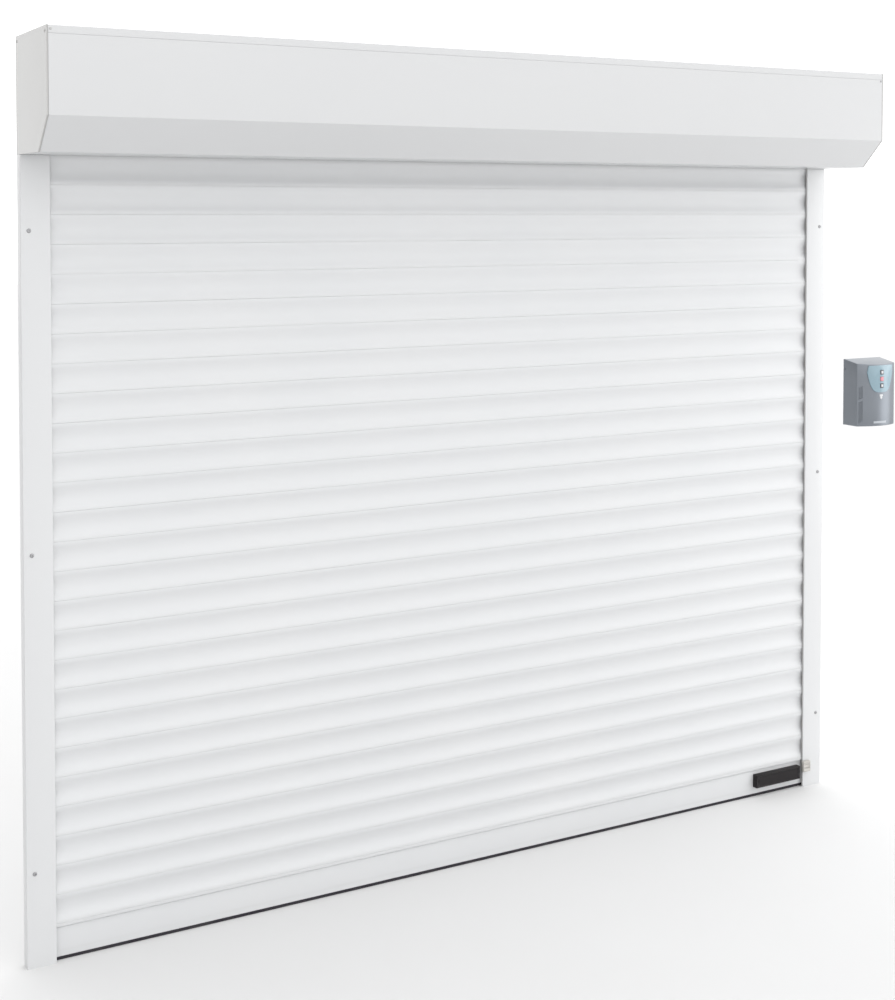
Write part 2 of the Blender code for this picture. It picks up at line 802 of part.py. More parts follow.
def motor_body(axis):
    """Motor tube, the head that stands out of the roller, and the bracket that holds it."""
    tube = ring(MOTOR_LEFT, MOTOR_RIGHT, MOTOR_RADIUS - MOTOR_WALL, MOTOR_RADIUS)
    add("motor_tube", tube, zinc_steel, axis, smooth=True)
    stub = MOTOR_RADIUS - MOTOR_WALL - GAP
    head = [
        (1.2450, 0.0),
        (1.2450, stub),
        (MOTOR_RIGHT + GAP, stub),
        (MOTOR_RIGHT + GAP, 0.0390),
        (1.3280, 0.0390),
        (1.3310, 0.0360),
        (1.3310, 0.0148),
        (1.3450, 0.0148),
        (1.3450, 0.0),
    ]
    add("motor_head", lathe(head), white_plastic, axis, smooth=True)
    bracket = extrusion([bracket_outline(), circle(0.0153, 16)], 1.3412, PLATE_INNER - GAP)
    add("motor_bracket", bracket, zinc_steel, axis)


def bracket_outline():
    """Square bracket with cut corners, 110 mm wide."""
    half = 0.055
    cut = 0.018
    corners = []
    for across, up in ((1, 1), (-1, 1), (-1, -1), (1, -1)):
        pair = [(across * half, up * (half - cut)), (across * (half - cut), up * half)]
        corners += pair if across * up > 0 else pair[::-1]
    return corners


def idler_support(axis):
    """Bracket with a socket on the left end plate and the ball bearing in it."""
    inner = -PLATE_INNER + GAP
    profile = [
        (inner, 0.0203),
        (inner, 0.0500),
        (inner + 0.0040, 0.0500),
        (inner + 0.0040, 0.0260),
        (inner + 0.0190, 0.0260),
        (inner + 0.0190, 0.0203),
    ]
    add("idler_bracket", lathe(profile), zinc_steel, axis, smooth=True)
    bearing = ring(inner + 0.0030, inner + 0.0170, 0.0083, 0.0200)
    add("idler_bearing", bearing, bare_steel, axis, smooth=True)


# ---- Control unit ----------------------------------------------------------------------------

def front_stations(left, right):
    """X places where the control unit's faceted front bends, between and with two ends."""
    first = math.ceil((left - BUTTON_X) / FACET - 0.5) + 0.5
    places = [left]
    step = first
    while BUTTON_X + FACET * step < right - 0.1 * FACET:
        if BUTTON_X + FACET * step > left + 0.1 * FACET:
            places.append(BUTTON_X + FACET * step)
        step += 1
    return places + [right]


def bulge(x):
    half = (CONTROL_RIGHT - CONTROL_LEFT) / 2
    return CONTROL_SIDE + CONTROL_BULGE * (1 - ((x - CONTROL_CROWN) / (half + 0.010)) ** 2)


def front_depth(x):
    """Depth of the faceted front at an X place."""
    low = BUTTON_X + FACET * (math.floor((x - BUTTON_X) / FACET + 0.5) - 0.5)
    low = max(low, CONTROL_LEFT)
    high = min(low + FACET, CONTROL_RIGHT)
    if x - low < 1e-9:
        return bulge(low)
    return bulge(low) + (bulge(high) - bulge(low)) * (x - low) / (high - low)


def control_shape(inset, back):
    """A body with the unit's plan outline, drawn in by an inset, under the sloping top."""
    left = CONTROL_LEFT + inset
    right = CONTROL_RIGHT - inset
    plan = [(left, -back), (right, -back)]
    plan += [(x, -front_depth(x) + inset) for x in front_stations(left, right)[::-1]]
    body = extrusion([plan], CONTROL_BOTTOM + inset, CONTROL_TOP - inset, "Z")
    for vert in body.verts:
        if vert.co.z > (CONTROL_BOTTOM + CONTROL_TOP) / 2:
            vert.co.z += vert.co.y * CONTROL_SLOPE
    bmesh.ops.recalc_face_normals(body, faces=body.faces)
    return body


def control_cover():
    """Bulged cover with a sloping top, hollow behind, with a window for the buttons."""
    cover = add("control_cover", control_shape(0.0, CONTROL_BASE + GAP), grey_plastic)
    boolean(cover, control_shape(CONTROL_WALL, CONTROL_BASE - 0.003))
    window = block(
        (BUTTON_X - 0.0055, -0.12, BUTTON_HEIGHTS[-1] - 0.0055),
        (BUTTON_X + 0.0055, -0.05, BUTTON_HEIGHTS[0] + 0.0055),
    )
    boolean(cover, window)


def keypad_panel():
    """Curved panel on the cover's front, narrower at its rounded bottom, with three button holes."""
    places = front_stations(PANEL_LEFT, PANEL_RIGHT)
    middle = (PANEL_LEFT + PANEL_RIGHT) / 2
    half = (PANEL_RIGHT - PANEL_LEFT) / 2
    body = bmesh.new()
    columns = []
    for x in places:
        across = (x - middle) / half
        bottom = PANEL_TOP + (PANEL_BOTTOM - PANEL_TOP) * (1 - 0.75 * across ** 4)
        front = -front_depth(x) - GAP
        face = front - PANEL_WALL
        corners = ((front, bottom), (front, PANEL_TOP), (face, PANEL_TOP), (face, bottom))
        columns.append([body.verts.new((x, y, z)) for y, z in corners])
    for near, far in zip(columns, columns[1:]):
        for index in range(4):
            after = (index + 1) % 4
            body.faces.new((near[index], near[after], far[after], far[index]))
    body.faces.new(columns[0])
    body.faces.new(columns[-1])
    bmesh.ops.recalc_face_normals(body, faces=body.faces)
    panel = add("keypad_panel", body, blue_plastic)
    half_hole = BUTTON_SIZE / 2 + 0.0005
    for height in BUTTON_HEIGHTS:
        hole = block(
            (BUTTON_X - half_hole, -0.12, height - half_hole),
            (BUTTON_X + half_hole, -0.05, height + half_hole),
        )
        boolean(panel, hole)


def control_button(name, height, material):
    """Push button with a narrow stem behind its cap; it slides toward the wall."""
    surface = front_depth(BUTTON_X)
    anchor = pivot(name + "_slide", (BUTTON_X, -surface, height))
    half = BUTTON_SIZE / 2
    front = -PANEL_WALL - GAP - BUTTON_TRAVEL
    back = -GAP - BUTTON_TRAVEL - BUTTON_REST
    cap = block((-half, front, -half), (half, back, half))
    rear = max(cap.faces, key=lambda face: face.calc_center_median().y)
    bmesh.ops.inset_region(cap, faces=[rear], thickness=half - STEM_HALF, use_even_offset=True)
    stem = bmesh.ops.extrude_face_region(cap, geom=[rear])
    bmesh.ops.delete(cap, geom=[rear], context="FACES_ONLY")
    tips = [item for item in stem["geom"] if isinstance(item, bmesh.types.BMVert)]
    bmesh.ops.translate(cap, verts=tips, vec=(0, STEM_REACH, 0))
    bmesh.ops.recalc_face_normals(cap, faces=cap.faces)
    add(name, cap, material, anchor)


def control_inside():
    """Back plate and circuit board of the control unit."""
    margin = 0.004
    plate = block(
        (CONTROL_LEFT, -CONTROL_BASE, CONTROL_BOTTOM),
        (CONTROL_RIGHT, 0.0, CONTROL_TOP - CONTROL_BASE * CONTROL_SLOPE),
    )
    add("control_back_plate", plate, dark_plastic)
    board = block(
        (CONTROL_LEFT + 2 * margin, -0.0556, CONTROL_BOTTOM + 2 * margin),
        (CONTROL_RIGHT - 2 * margin, -0.0540, CONTROL_TOP - 0.030),
    )
    add("control_board", board, green_board)


def cable_gland():
    """Cable gland under the control unit."""
    profile = [
        (-0.0060, 0.0030),
        (-0.0060, 0.0070),
        (-0.0020, 0.0095),
        (-GAP, 0.0095),
        (-GAP, 0.0030),
    ]
    gland = moved(lathe(profile, 12), turn=Matrix.Rotation(-math.pi / 2, 3, "Y"))
    add("cable_gland", moved(gland, (1.5300, -0.0170, CONTROL_BOTTOM)), dark_plastic, smooth=True)


# ---- The whole shutter -----------------------------------------------------------------------

def main():
    for item in list(bpy.data.objects):
        bpy.data.objects.remove(item)
    hood_top_cover()
    hood_front_cover()
    for side_name, side in (("left", -1), ("right", 1)):
        end_plate(side_name, side)
        guide(side_name, side)
        guide_screws(side_name, side)
        inlet_funnel(side_name, side)
    sensor_block()
    slats()
    bottom_bar()
    bottom_seal()
    hanger_straps()
    edge_transmitter()
    axis = pivot("roller_axis", (0, AXIS_Y, AXIS_Z))
    roller(axis)
    planet_carrier(axis)
    planet_gears()
    ring_gear(axis)
    motor_rotor(axis)
    motor_inside(axis)
    motor_body(axis)
    idler_support(axis)
    control_inside()
    control_cover()
    keypad_panel()
    names = ("button_up", "button_stop", "button_down")
    for name, height, material in zip(names, BUTTON_HEIGHTS, (white_plastic, red_plastic, white_plastic)):
        control_button(name, height, material)
    cable_gland()


main()
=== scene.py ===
"""Looks for the motorised roller shutter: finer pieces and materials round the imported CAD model."""

import math

import bmesh
import bpy
from mathutils import Matrix, Vector, noise


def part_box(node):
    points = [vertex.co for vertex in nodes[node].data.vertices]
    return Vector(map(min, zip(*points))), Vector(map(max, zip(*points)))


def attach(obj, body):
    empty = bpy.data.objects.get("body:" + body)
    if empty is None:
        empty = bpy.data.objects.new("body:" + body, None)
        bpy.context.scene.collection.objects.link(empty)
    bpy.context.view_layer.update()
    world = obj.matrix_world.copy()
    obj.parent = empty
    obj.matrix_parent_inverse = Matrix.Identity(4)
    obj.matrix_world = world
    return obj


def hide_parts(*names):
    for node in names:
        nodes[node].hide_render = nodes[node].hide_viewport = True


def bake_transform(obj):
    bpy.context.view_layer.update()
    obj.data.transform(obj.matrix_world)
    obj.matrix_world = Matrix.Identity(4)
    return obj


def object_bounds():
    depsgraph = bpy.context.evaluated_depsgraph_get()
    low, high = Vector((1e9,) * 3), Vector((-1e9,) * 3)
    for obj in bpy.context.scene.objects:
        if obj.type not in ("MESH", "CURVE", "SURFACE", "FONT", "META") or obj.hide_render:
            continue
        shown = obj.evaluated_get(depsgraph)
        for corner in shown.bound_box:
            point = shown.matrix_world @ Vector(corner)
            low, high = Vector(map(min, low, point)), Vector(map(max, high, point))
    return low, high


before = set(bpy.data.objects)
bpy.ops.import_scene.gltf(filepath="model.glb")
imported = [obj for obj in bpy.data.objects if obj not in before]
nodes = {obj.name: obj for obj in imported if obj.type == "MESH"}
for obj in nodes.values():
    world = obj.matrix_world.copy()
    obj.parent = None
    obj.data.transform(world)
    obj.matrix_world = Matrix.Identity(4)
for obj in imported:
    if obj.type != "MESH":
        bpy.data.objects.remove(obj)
cad_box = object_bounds()

# ---- Measures in metres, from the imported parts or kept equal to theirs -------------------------

GAP = 0.0003
FLOOR = cad_box[0].z
HOOD_LOW, HOOD_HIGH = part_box("hood_top_cover")
HALF_HOOD = HOOD_HIGH.z
HOOD_DEPTH = -HOOD_LOW.y
COVER_END = HOOD_HIGH.x
SHEET = 0.0015
COVER_SLIT = 0.0004
HOOD_CHAMFER = 0.085
FLANGE_HEIGHT = 0.020
TONGUE_SETBACK = 0.0022
HEM_DEPTH = -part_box("hood_front_cover")[1].y
HEM_HEIGHT = 0.004
PLATE_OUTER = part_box("end_plate_right")[1].x
STRAP_SHEET = 0.0010
STRAP_CLEARANCE = 0.0043

GUIDE_LOW, GUIDE_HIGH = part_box("guide_right")
GUIDE_INNER = GUIDE_LOW.x
GUIDE_OUTER = GUIDE_HIGH.x
GUIDE_FRONT = GUIDE_LOW.y
GUIDE_TOP = GUIDE_HIGH.z
GUIDE_WALL = 0.0018
SLOT_BOTTOM = GUIDE_INNER + 0.0365
WEB_WALL = 0.002

SLAT_PITCH = 0.077
SLAT_COUNT = 26
SLAT_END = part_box("slats_01_02")[1].x
FIRST_JOINT = FLOOR + 0.102
CREST_DEPTH = 0.0262
VALLEY_DEPTH = 0.0182
CREST_DROP = 0.0030
RIDGE_HALF = 0.0143
BACK_DEPTH = 0.0078
BACK_BOW = 0.0018
HOOK_DEPTH = 0.017
HOOK_HEIGHT = 0.0025
BULB_RADIUS = 0.003
SOCKET_RADIUS = 0.0039
NECK_HALF = 0.0012
MOUTH_HALF = 0.0017
SHOULDER = 0.0025
SKIRT = 0.0022
BAR_FACE = 0.020

CONTROL_LOW, CONTROL_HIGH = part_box("control_cover")
CONTROL_LEFT, CONTROL_RIGHT = CONTROL_LOW.x, CONTROL_HIGH.x
CONTROL_BOTTOM = CONTROL_LOW.z
CONTROL_TOP = -0.801
CONTROL_BASE = -CONTROL_HIGH.y
CONTROL_SIDE = 0.064
CONTROL_BULGE = 0.026
CONTROL_CROWN = 1.5675
CONTROL_SLOPE = 0.19
BUTTON_X = 1.564
BUTTON_MIDDLE = 0.0075
PANEL_WALL = 0.003
ARROW_HEIGHT = -0.9290
VENT_INSET = 0.0125
VENT_PITCH = 0.0052
UPPER_VENTS, UPPER_VENT_TOP = 8, -0.8950
LOWER_VENTS, LOWER_VENT_TOP = 14, -0.9450
NAMEPLATE_LEFT, NAMEPLATE_RIGHT = 1.5330, 1.5880
NAMEPLATE_LOW, NAMEPLATE_HIGH = -1.0195, -1.0120

CAMERA_PLACE = (-2.3150, -3.9885)
EYE_HEIGHT = 1.9503
CAMERA_PITCH = 2.0
CAMERA_HEADING = -0.5086


# ---- Materials ---------------------------------------------------------------------------------

def link(material, output, target):
    material.node_tree.links.new(output, target)


def node(material, kind, **inputs):
    """A new node with its inputs set by name, underscores for spaces."""
    made = material.node_tree.nodes.new(kind)
    for name, value in inputs.items():
        made.inputs[name.replace("_", " ")].default_value = value
    return made


def shader_of(material):
    return material.node_tree.nodes["Principled BSDF"]


def place_of(material, stretch=(1, 1, 1)):
    """Output with a point's place on its piece, scaled along each axis."""
    place = node(material, "ShaderNodeTexCoord")
    mapping = node(material, "ShaderNodeMapping", Scale=stretch)
    link(material, place.outputs["Object"], mapping.inputs["Vector"])
    return mapping.outputs["Vector"]


def grain(material, scale, stretch=(1, 1, 1), detail=3.0, roughness=0.55):
    """Output of a noise whose scale is in features to the metre."""
    texture = node(material, "ShaderNodeTexNoise", Scale=scale, Detail=detail, Roughness=roughness)
    link(material, place_of(material, stretch), texture.inputs["Vector"])
    return texture.outputs["Fac"]


def ranged(material, value, low, high, start=0.3, end=0.7):
    """Output of a value mapped from start..end to low..high."""
    span = node(material, "ShaderNodeMapRange", From_Min=start, From_Max=end, To_Min=low, To_Max=high)
    link(material, value, span.inputs["Value"])
    return span.outputs["Result"]


def blended(material, factor, first, second):
    """Output of a colour mixed between two, each a colour or another output."""
    mix = node(material, "ShaderNodeMix")
    mix.data_type = "RGBA"
    link(material, factor, mix.inputs[0])
    for socket, colour in ((mix.inputs[6], first), (mix.inputs[7], second)):
        if isinstance(colour, bpy.types.NodeSocket):
            link(material, colour, socket)
        else:
            socket.default_value = (*colour, 1.0)
    return mix.outputs[2]


def relief(material, layers):
    """Chains bumps from (output, height in metres) pairs into the shader."""
    before = None
    for value, height in layers:
        bump = node(material, "ShaderNodeBump", Strength=1.0, Distance=height)
        link(material, value, bump.inputs["Height"])
        if before is not None:
            link(material, before, bump.inputs["Normal"])
        before = bump.outputs["Normal"]
    link(material, before, shader_of(material).inputs["Normal"])


def finish_of(name, colour, other, roughness, metallic=0.0, specular=0.5, coat=0.0):
    """A material whose colour drifts between two and whose gloss drifts between two roughnesses.

    A pair of roughnesses stays on one side of 0.274, where the denoiser starts to treat a gloss as plain.
    """
    material = bpy.data.materials.new(name)
    material.use_nodes = True
    shader = shader_of(material)
    shader.inputs["Metallic"].default_value = metallic
    shader.inputs["Specular IOR Level"].default_value = specular
    shader.inputs["Coat Weight"].default_value = coat
    shader.inputs["Coat Roughness"].default_value = 0.12
    cloud = grain(material, 2.3, detail=5.0)
    drifting = blended(material, ranged(material, cloud, 0, 1), colour, other)
    link(material, drifting, shader.inputs["Base Color"])
    smear = grain(material, 9.0, detail=4.0)
    link(material, ranged(material, smear, *roughness), shader.inputs["Roughness"])
    return material


def tint(material, factor, colour):
    """Lays a colour over what already feeds the base colour, by a factor."""
    socket = shader_of(material).inputs["Base Color"]
    link(material, blended(material, factor, socket.links[0].from_socket, colour), socket)


def specks(material, scale, amount, share):
    """Output that is up to amount in small scattered specks over a share of the surface."""
    cell = grain(material, scale, detail=2.0)
    return ranged(material, cell, 0.0, amount, 1.0 - share, 1.04 - share)


def slat_lacquer():
    """Rolled, lacquered aluminium: faint length-wise rolling lines, dust in the joints, soft waves."""
    material = finish_of("slat_lacquer", (0.668, 0.677, 0.688), (0.684, 0.690, 0.698), (0.30, 0.40))
    place = node(material, "ShaderNodeTexCoord")
    split = node(material, "ShaderNodeSeparateXYZ")
    link(material, place.outputs["Object"], split.inputs["Vector"])
    lowered = node(material, "ShaderNodeMath")
    lowered.operation = "SUBTRACT"
    lowered.inputs[1].default_value = FIRST_JOINT - SLAT_PITCH / 2
    link(material, split.outputs["Z"], lowered.inputs[0])
    wrapped = node(material, "ShaderNodeMath")
    wrapped.operation = "WRAP"
    wrapped.inputs[1].default_value = SLAT_PITCH / 2
    wrapped.inputs[2].default_value = -SLAT_PITCH / 2
    link(material, lowered.outputs[0], wrapped.inputs[0])
    distance = node(material, "ShaderNodeMath")
    distance.operation = "ABSOLUTE"
    link(material, wrapped.outputs[0], distance.inputs[0])
    half = SLAT_PITCH / 2
    joint = ranged(material, distance.outputs[0], 0.0, 0.14, half - 0.0055, half - 0.0005)
    dusty = node(material, "ShaderNodeMath")
    dusty.operation = "MULTIPLY"
    link(material, joint, dusty.inputs[0])
    link(material, ranged(material, grain(material, 14, (1, 1, 3)), 0.25, 1.0), dusty.inputs[1])
    tint(material, dusty.outputs[0], (0.50, 0.49, 0.47))
    tint(material, specks(material, 260, 0.08, 0.26), (0.50, 0.48, 0.46))
    rolled = grain(material, 420, (0.02, 1, 1), detail=2.0)
    peel = grain(material, 700, detail=1.0)
    relief(material, [(rolled, 0.00003), (peel, 0.00002)])
    return material


def white_coat(name, shade, gloss):
    """Smooth white powder coat with orange peel and faint hand marks."""
    other = tuple(channel * 1.008 for channel in shade)
    material = finish_of(name, shade, other, gloss, coat=0.15)
    tint(material, ranged(material, grain(material, 0.9, (1, 1, 2.5), 3.0), 0.0, 0.04), (0.60, 0.60, 0.59))
    tint(material, specks(material, 260, 0.06, 0.24), (0.52, 0.50, 0.47))
    peel = grain(material, 500, detail=1.5)
    waves = grain(material, 3, detail=1.0)
    relief(material, [(peel, 0.000006), (waves, 0.00008)])
    return material


def moulded(name, colour, roughness, texture=900, height=0.00004, spread=0.08, coat=0.0, metallic=0.0,
            specular=0.45):
    """Moulded plastic with a fine eroded texture."""
    other = tuple(channel * (1 + spread) for channel in colour)
    material = finish_of(name, colour, other, roughness, metallic, specular, coat)
    paler = tuple(min(1.0, channel * 1.5 + 0.03) for channel in colour)
    tint(material, specks(material, 330, 0.18, 0.30), paler)
    relief(material, [(grain(material, texture, detail=2.0), height), (grain(material, 25), 0.00008)])
    return material


def rubber(name, colour):
    material = moulded(name, colour, (0.55, 0.75), 600, 0.00006, 0.25)
    dust = ranged(material, grain(material, 60, (0.3, 1, 1), 5.0), 0.0, 0.35, 0.45, 0.75)
    tint(material, dust, (0.09, 0.085, 0.08))
    return material


def drawn_metal(name, colour, roughness, along=(0.03, 1, 1), fine=1300):
    """Drawn or turned metal with lines along one axis and cloudy plating."""
    other = tuple(channel * 0.82 for channel in colour)
    material = finish_of(name, colour, other, roughness, metallic=1.0)
    lines = grain(material, fine, along, detail=3.0)
    tint(material, ranged(material, lines, 0.0, 0.35), tuple(channel * 0.6 for channel in colour))
    relief(material, [(lines, 0.00003), (grain(material, 120), 0.00004)])
    return material


def winding(name):
    """Enamelled copper wire wound round the axis, as close rings of wire."""
    material = finish_of(name, (0.50, 0.17, 0.06), (0.36, 0.10, 0.035), (0.285, 0.38), 0.85, coat=0.5)
    wave = node(material, "ShaderNodeTexWave", Scale=180, Distortion=0.6, Detail=1.0)
    wave.bands_direction = "X"
    link(material, place_of(material), wave.inputs["Vector"])
    tint(material, ranged(material, wave.outputs["Fac"], 0.55, 0.0, 0.0, 0.5), (0.07, 0.02, 0.01))
    relief(material, [(wave.outputs["Fac"], 0.0004)])
    return material


def circuit(name):
    """Green solder mask over copper tracks, with rows of pale pads."""
    material = finish_of(name, (0.012, 0.13, 0.045), (0.02, 0.19, 0.07), (0.285, 0.38), coat=0.3)
    tracks = node(material, "ShaderNodeTexBrick", Scale=90, Mortar_Size=0.035, Brick_Width=0.9,
                  Row_Height=0.28)
    place = node(material, "ShaderNodeTexCoord")
    turned = node(material, "ShaderNodeMapping", Rotation=(math.pi / 2, 0, 0))
    link(material, place.outputs["Object"], turned.inputs["Vector"])
    link(material, turned.outputs["Vector"], tracks.inputs["Vector"])
    tint(material, tracks.outputs["Fac"], (0.05, 0.33, 0.13))
    pads = node(material, "ShaderNodeTexVoronoi", Scale=160, Randomness=0.15)
    link(material, turned.outputs["Vector"], pads.inputs["Vector"])
    tint(material, ranged(material, pads.outputs["Distance"], 1.0, 0.0, 0.16, 0.2), (0.62, 0.60, 0.52))
    relief(material, [(tracks.outputs["Fac"], 0.00006)])
    return material


SLAT_WHITE = slat_lacquer()
HOOD_WHITE = white_coat("hood_white", (0.612, 0.617, 0.624), (0.285, 0.325))
# The end plates' white coat is a darker copy of the hood's white coat: painted shade, set to the left end
# plate's look where it faces away from the light. The plate rivets and the left flange rivet share it.
SHADED_PLATE_WHITE = white_coat("plate_white_shaded", (0.453, 0.450, 0.443), (0.14, 0.17))
GUIDE_WHITE = white_coat("guide_white", (0.665, 0.671, 0.679), (0.29, 0.34))
HEAD_WHITE = moulded("head_white", (0.74, 0.74, 0.73), (0.32, 0.42), spread=0.03)
BUTTON_WHITE = moulded("button_white", (0.62, 0.63, 0.64), (0.28, 0.36), 1500, 0.00001, 0.02)
BUTTON_RED = moulded("button_red", (0.64, 0.26, 0.30), (0.28, 0.36), 1500, 0.00001, 0.05)
FRAME_DARK = moulded("button_frame", (0.10, 0.10, 0.11), (0.38, 0.48), 1500, 0.00001, 0.10)
CASE_DARK = moulded("case_dark", (0.018, 0.016, 0.017), (0.42, 0.55), spread=0.25, specular=0.18)
BLACK_PLASTIC = moulded("black_plastic", (0.022, 0.020, 0.022), (0.45, 0.60), spread=0.25)
UNIT_GREY = moulded("unit_grey", (0.205, 0.222, 0.246), (0.285, 0.36), spread=0.04, metallic=0.75)
PANEL_BLUE = moulded("panel_blue", (0.245, 0.350, 0.405), (0.16, 0.26), 1400, 0.00002, 0.05, coat=0.4)
BLOCK_PALE = moulded("block_pale", (0.50, 0.48, 0.45), (0.45, 0.58), spread=0.06)
CAP_PALE = moulded("cap_pale", (0.60, 0.59, 0.57), (0.45, 0.60), spread=0.05)
BEAD_PALE = moulded("bead_pale", (0.64, 0.63, 0.62), (0.50, 0.65), spread=0.05)
NAMEPLATE = moulded("nameplate", (0.42, 0.45, 0.48), (0.285, 0.35), 1400, 0.00001, 0.03)
SEAL_BLACK = rubber("seal_black", (0.016, 0.013, 0.020))
BRISTLE = moulded("bristle", (0.030, 0.028, 0.032), (0.60, 0.75), 2500, 0.0001, 0.4)
ZINC = drawn_metal("zinc", (0.60, 0.61, 0.63), (0.285, 0.42))
STEEL = drawn_metal("steel", (0.50, 0.50, 0.51), (0.285, 0.36))
SCREW_STEEL = drawn_metal("screw_steel", (0.46, 0.46, 0.47), (0.30, 0.44), (1, 1, 1), 2500)
SCREW_BLACK = drawn_metal("screw_black", (0.05, 0.05, 0.052), (0.40, 0.55), (1, 1, 1), 2500)
WINDING = winding("winding")
CIRCUIT = circuit("circuit")


# ---- Shapes ------------------------------------------------------------------------------------

def piece(name, body, material, rides_on, crease=40, stands_for=()):
    """A finished mesh object from a bmesh, riding on a body if one is named."""
    bmesh.ops.recalc_face_normals(body, faces=body.faces)
    mesh = bpy.data.meshes.new(name)
    body.to_mesh(mesh)
    body.free()
    mesh.shade_smooth()
    mesh.set_sharp_from_angle(angle=math.radians(crease))
    mesh.materials.append(material)
    made = bpy.data.objects.new(name, mesh)
    bpy.context.scene.collection.objects.link(made)
    if rides_on:
        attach(made, rides_on)
    if stands_for:
        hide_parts(*stands_for)
    return made


def rounded(points, radius, steps=4, closed=True, least=25):
    """A copy of an outline with its sharper corners rounded off. Radius may be one for each corner."""
    count = len(points)
    made = []
    for index, point in enumerate(points):
        here = Vector(point)
        wanted = radius[index] if isinstance(radius, (list, tuple)) else radius
        if wanted <= 0 or (not closed and index in (0, count - 1)):
            made.append(tuple(here))
            continue
        before = Vector(points[index - 1]) - here
        after = Vector(points[(index + 1) % count]) - here
        turn = math.pi - before.angle(after)
        if turn < math.radians(least):
            made.append(tuple(here))
            continue
        reach = min(wanted * math.tan(turn / 2), 0.48 * before.length, 0.48 * after.length)
        start = here + before.normalized() * reach
        end = here + after.normalized() * reach
        for step in range(steps + 1):
            part = step / steps
            one = start.lerp(here, part)
            other = here.lerp(end, part)
            made.append(tuple(one.lerp(other, part)))
    return made


def sheet(path, thickness):
    """The closed outline of bent sheet whose thickness is at its path's left side."""
    points = [Vector(point) for point in path]
    inner = []
    for index, point in enumerate(points):
        sides = []
        for start, end in ((index - 1, index), (index, index + 1)):
            if start >= 0 and end < len(points):
                along = (points[end] - points[start]).normalized()
                sides.append(Vector((-along.y, along.x)))
        middle = sum(sides, Vector((0, 0))).normalized()
        inner.append(point + middle * (thickness / middle.dot(sides[0])))
    return [tuple(point) for point in points + inner[::-1]]


def at(axis, along, first, second):
    """A point from its place along an axis and its two others."""
    return Vector((along, first, second)) if axis == "X" else Vector((first, second, along))


def bridge(body, rings):
    """Faces round a body between each ring of vertices and the next."""
    for near, far in zip(rings, rings[1:]):
        for index in range(len(near)):
            after = (index + 1) % len(near)
            body.faces.new((near[index], near[after], far[after], far[index]))


def edges_round(body, ring):
    """The edges that join a ring of vertices."""
    return [body.edges.get((ring[index], ring[(index + 1) % len(ring)])) for index in range(len(ring))]


def run(outlines, stations, axis="X", sway=None):
    """A solid from a closed outline, and any hole outlines, run through stations along an axis."""
    body = bmesh.new()
    ends = ([], [])
    for outline in outlines:
        rings = []
        for station in stations:
            offset = sway(station) if sway else Vector((0, 0, 0))
            rings.append([body.verts.new(at(axis, station, *point) + offset) for point in outline])
        bridge(body, rings)
        ends[0].append(rings[0])
        ends[1].append(rings[-1])
    for rings in ends:
        if len(rings) == 1:
            body.faces.new(rings[0])
        else:
            edges = [edge for ring in rings for edge in edges_round(body, ring)]
            bmesh.ops.triangle_fill(body, edges=edges, use_beauty=True)
    return body


def spaced(low, high, count):
    return [low + (high - low) * index / count for index in range(count + 1)]


def turned(profile, segments=32, lobes=0.0, lobe_rings=()):
    """A solid of revolution about X from (along, radius) points; some rings may have six lobes."""
    body = bmesh.new()
    rings = []
    for number, (along, radius) in enumerate(profile):
        if radius == 0:
            rings.append([body.verts.new((along, 0, 0))])
            continue
        ring = []
        for index in range(segments):
            angle = math.tau * index / segments
            wide = radius * (1 + lobes * math.cos(6 * angle)) if number in lobe_rings else radius
            ring.append(body.verts.new((along, wide * math.cos(angle), wide * math.sin(angle))))
        rings.append(ring)
    for near, far in zip(rings, rings[1:]):
        for index in range(segments):
            after = (index + 1) % segments
            corners = [near[index % len(near)], near[after % len(near)]]
            corners += [far[after % len(far)], far[index % len(far)]]
            body.faces.new([corner for place, corner in enumerate(corners) if corner not in corners[:place]])
    return body


def slab(low, high, radius, steps=3):
    """A box with its edges rounded."""
    body = bmesh.new()
    bmesh.ops.create_cube(body, size=1.0)
    low, high = Vector(low), Vector(high)
    for vert in body.verts:
        vert.co = Vector(low[k] + (vert.co[k] + 0.5) * (high[k] - low[k]) for k in range(3))
    bmesh.ops.bevel(body, geom=body.edges[:], offset=radius, segments=steps, profile=0.5, affect="EDGES")
    return body


def shifted(body, offset=(0, 0, 0), turn=None):
    if turn is not None:
        bmesh.ops.rotate(body, cent=(0, 0, 0), matrix=turn, verts=body.verts)
    bmesh.ops.translate(body, vec=offset, verts=body.verts)
    return body


def joined(bodies):
    """One bmesh from several."""
    whole = bmesh.new()
    for body in bodies:
        part = bpy.data.meshes.new("part")
        body.to_mesh(part)
        body.free()
        whole.from_mesh(part)
        bpy.data.meshes.remove(part)
    return whole


def flipped(body, side):
    """The body for the right side, mirrored in X for the left."""
    if side < 0:
        bmesh.ops.scale(body, vec=(-1, 1, 1), verts=body.verts)
        bmesh.ops.reverse_faces(body, faces=body.faces)
    return body


def cut(target, body):
    """Takes a body out of a piece's mesh for good."""
    mesh = bpy.data.meshes.new("cutter")
    bmesh.ops.recalc_face_normals(body, faces=body.faces)
    body.to_mesh(mesh)
    body.free()
    tool = bpy.data.objects.new("cutter", mesh)
    bpy.context.scene.collection.objects.link(tool)
    modifier = target.modifiers.new("cut", "BOOLEAN")
    modifier.operation = "DIFFERENCE"
    modifier.solver = "EXACT"
    modifier.object = tool
    bpy.context.view_layer.update()
    graph = bpy.context.evaluated_depsgraph_get()
    result = bpy.data.meshes.new_from_object(target.evaluated_get(graph))
    target.modifiers.remove(modifier)
    target.data = result
    bpy.data.objects.remove(tool)


def soften(name, width):
    """Rounds a CAD node's edges, with its shape and place left as they are."""
    bevel = nodes[name].modifiers.new("soften", "BEVEL")
    bevel.width = width
    bevel.segments = 2
    bevel.limit_method = "ANGLE"
    bevel.angle_limit = math.radians(35)
    bevel.harden_normals = True


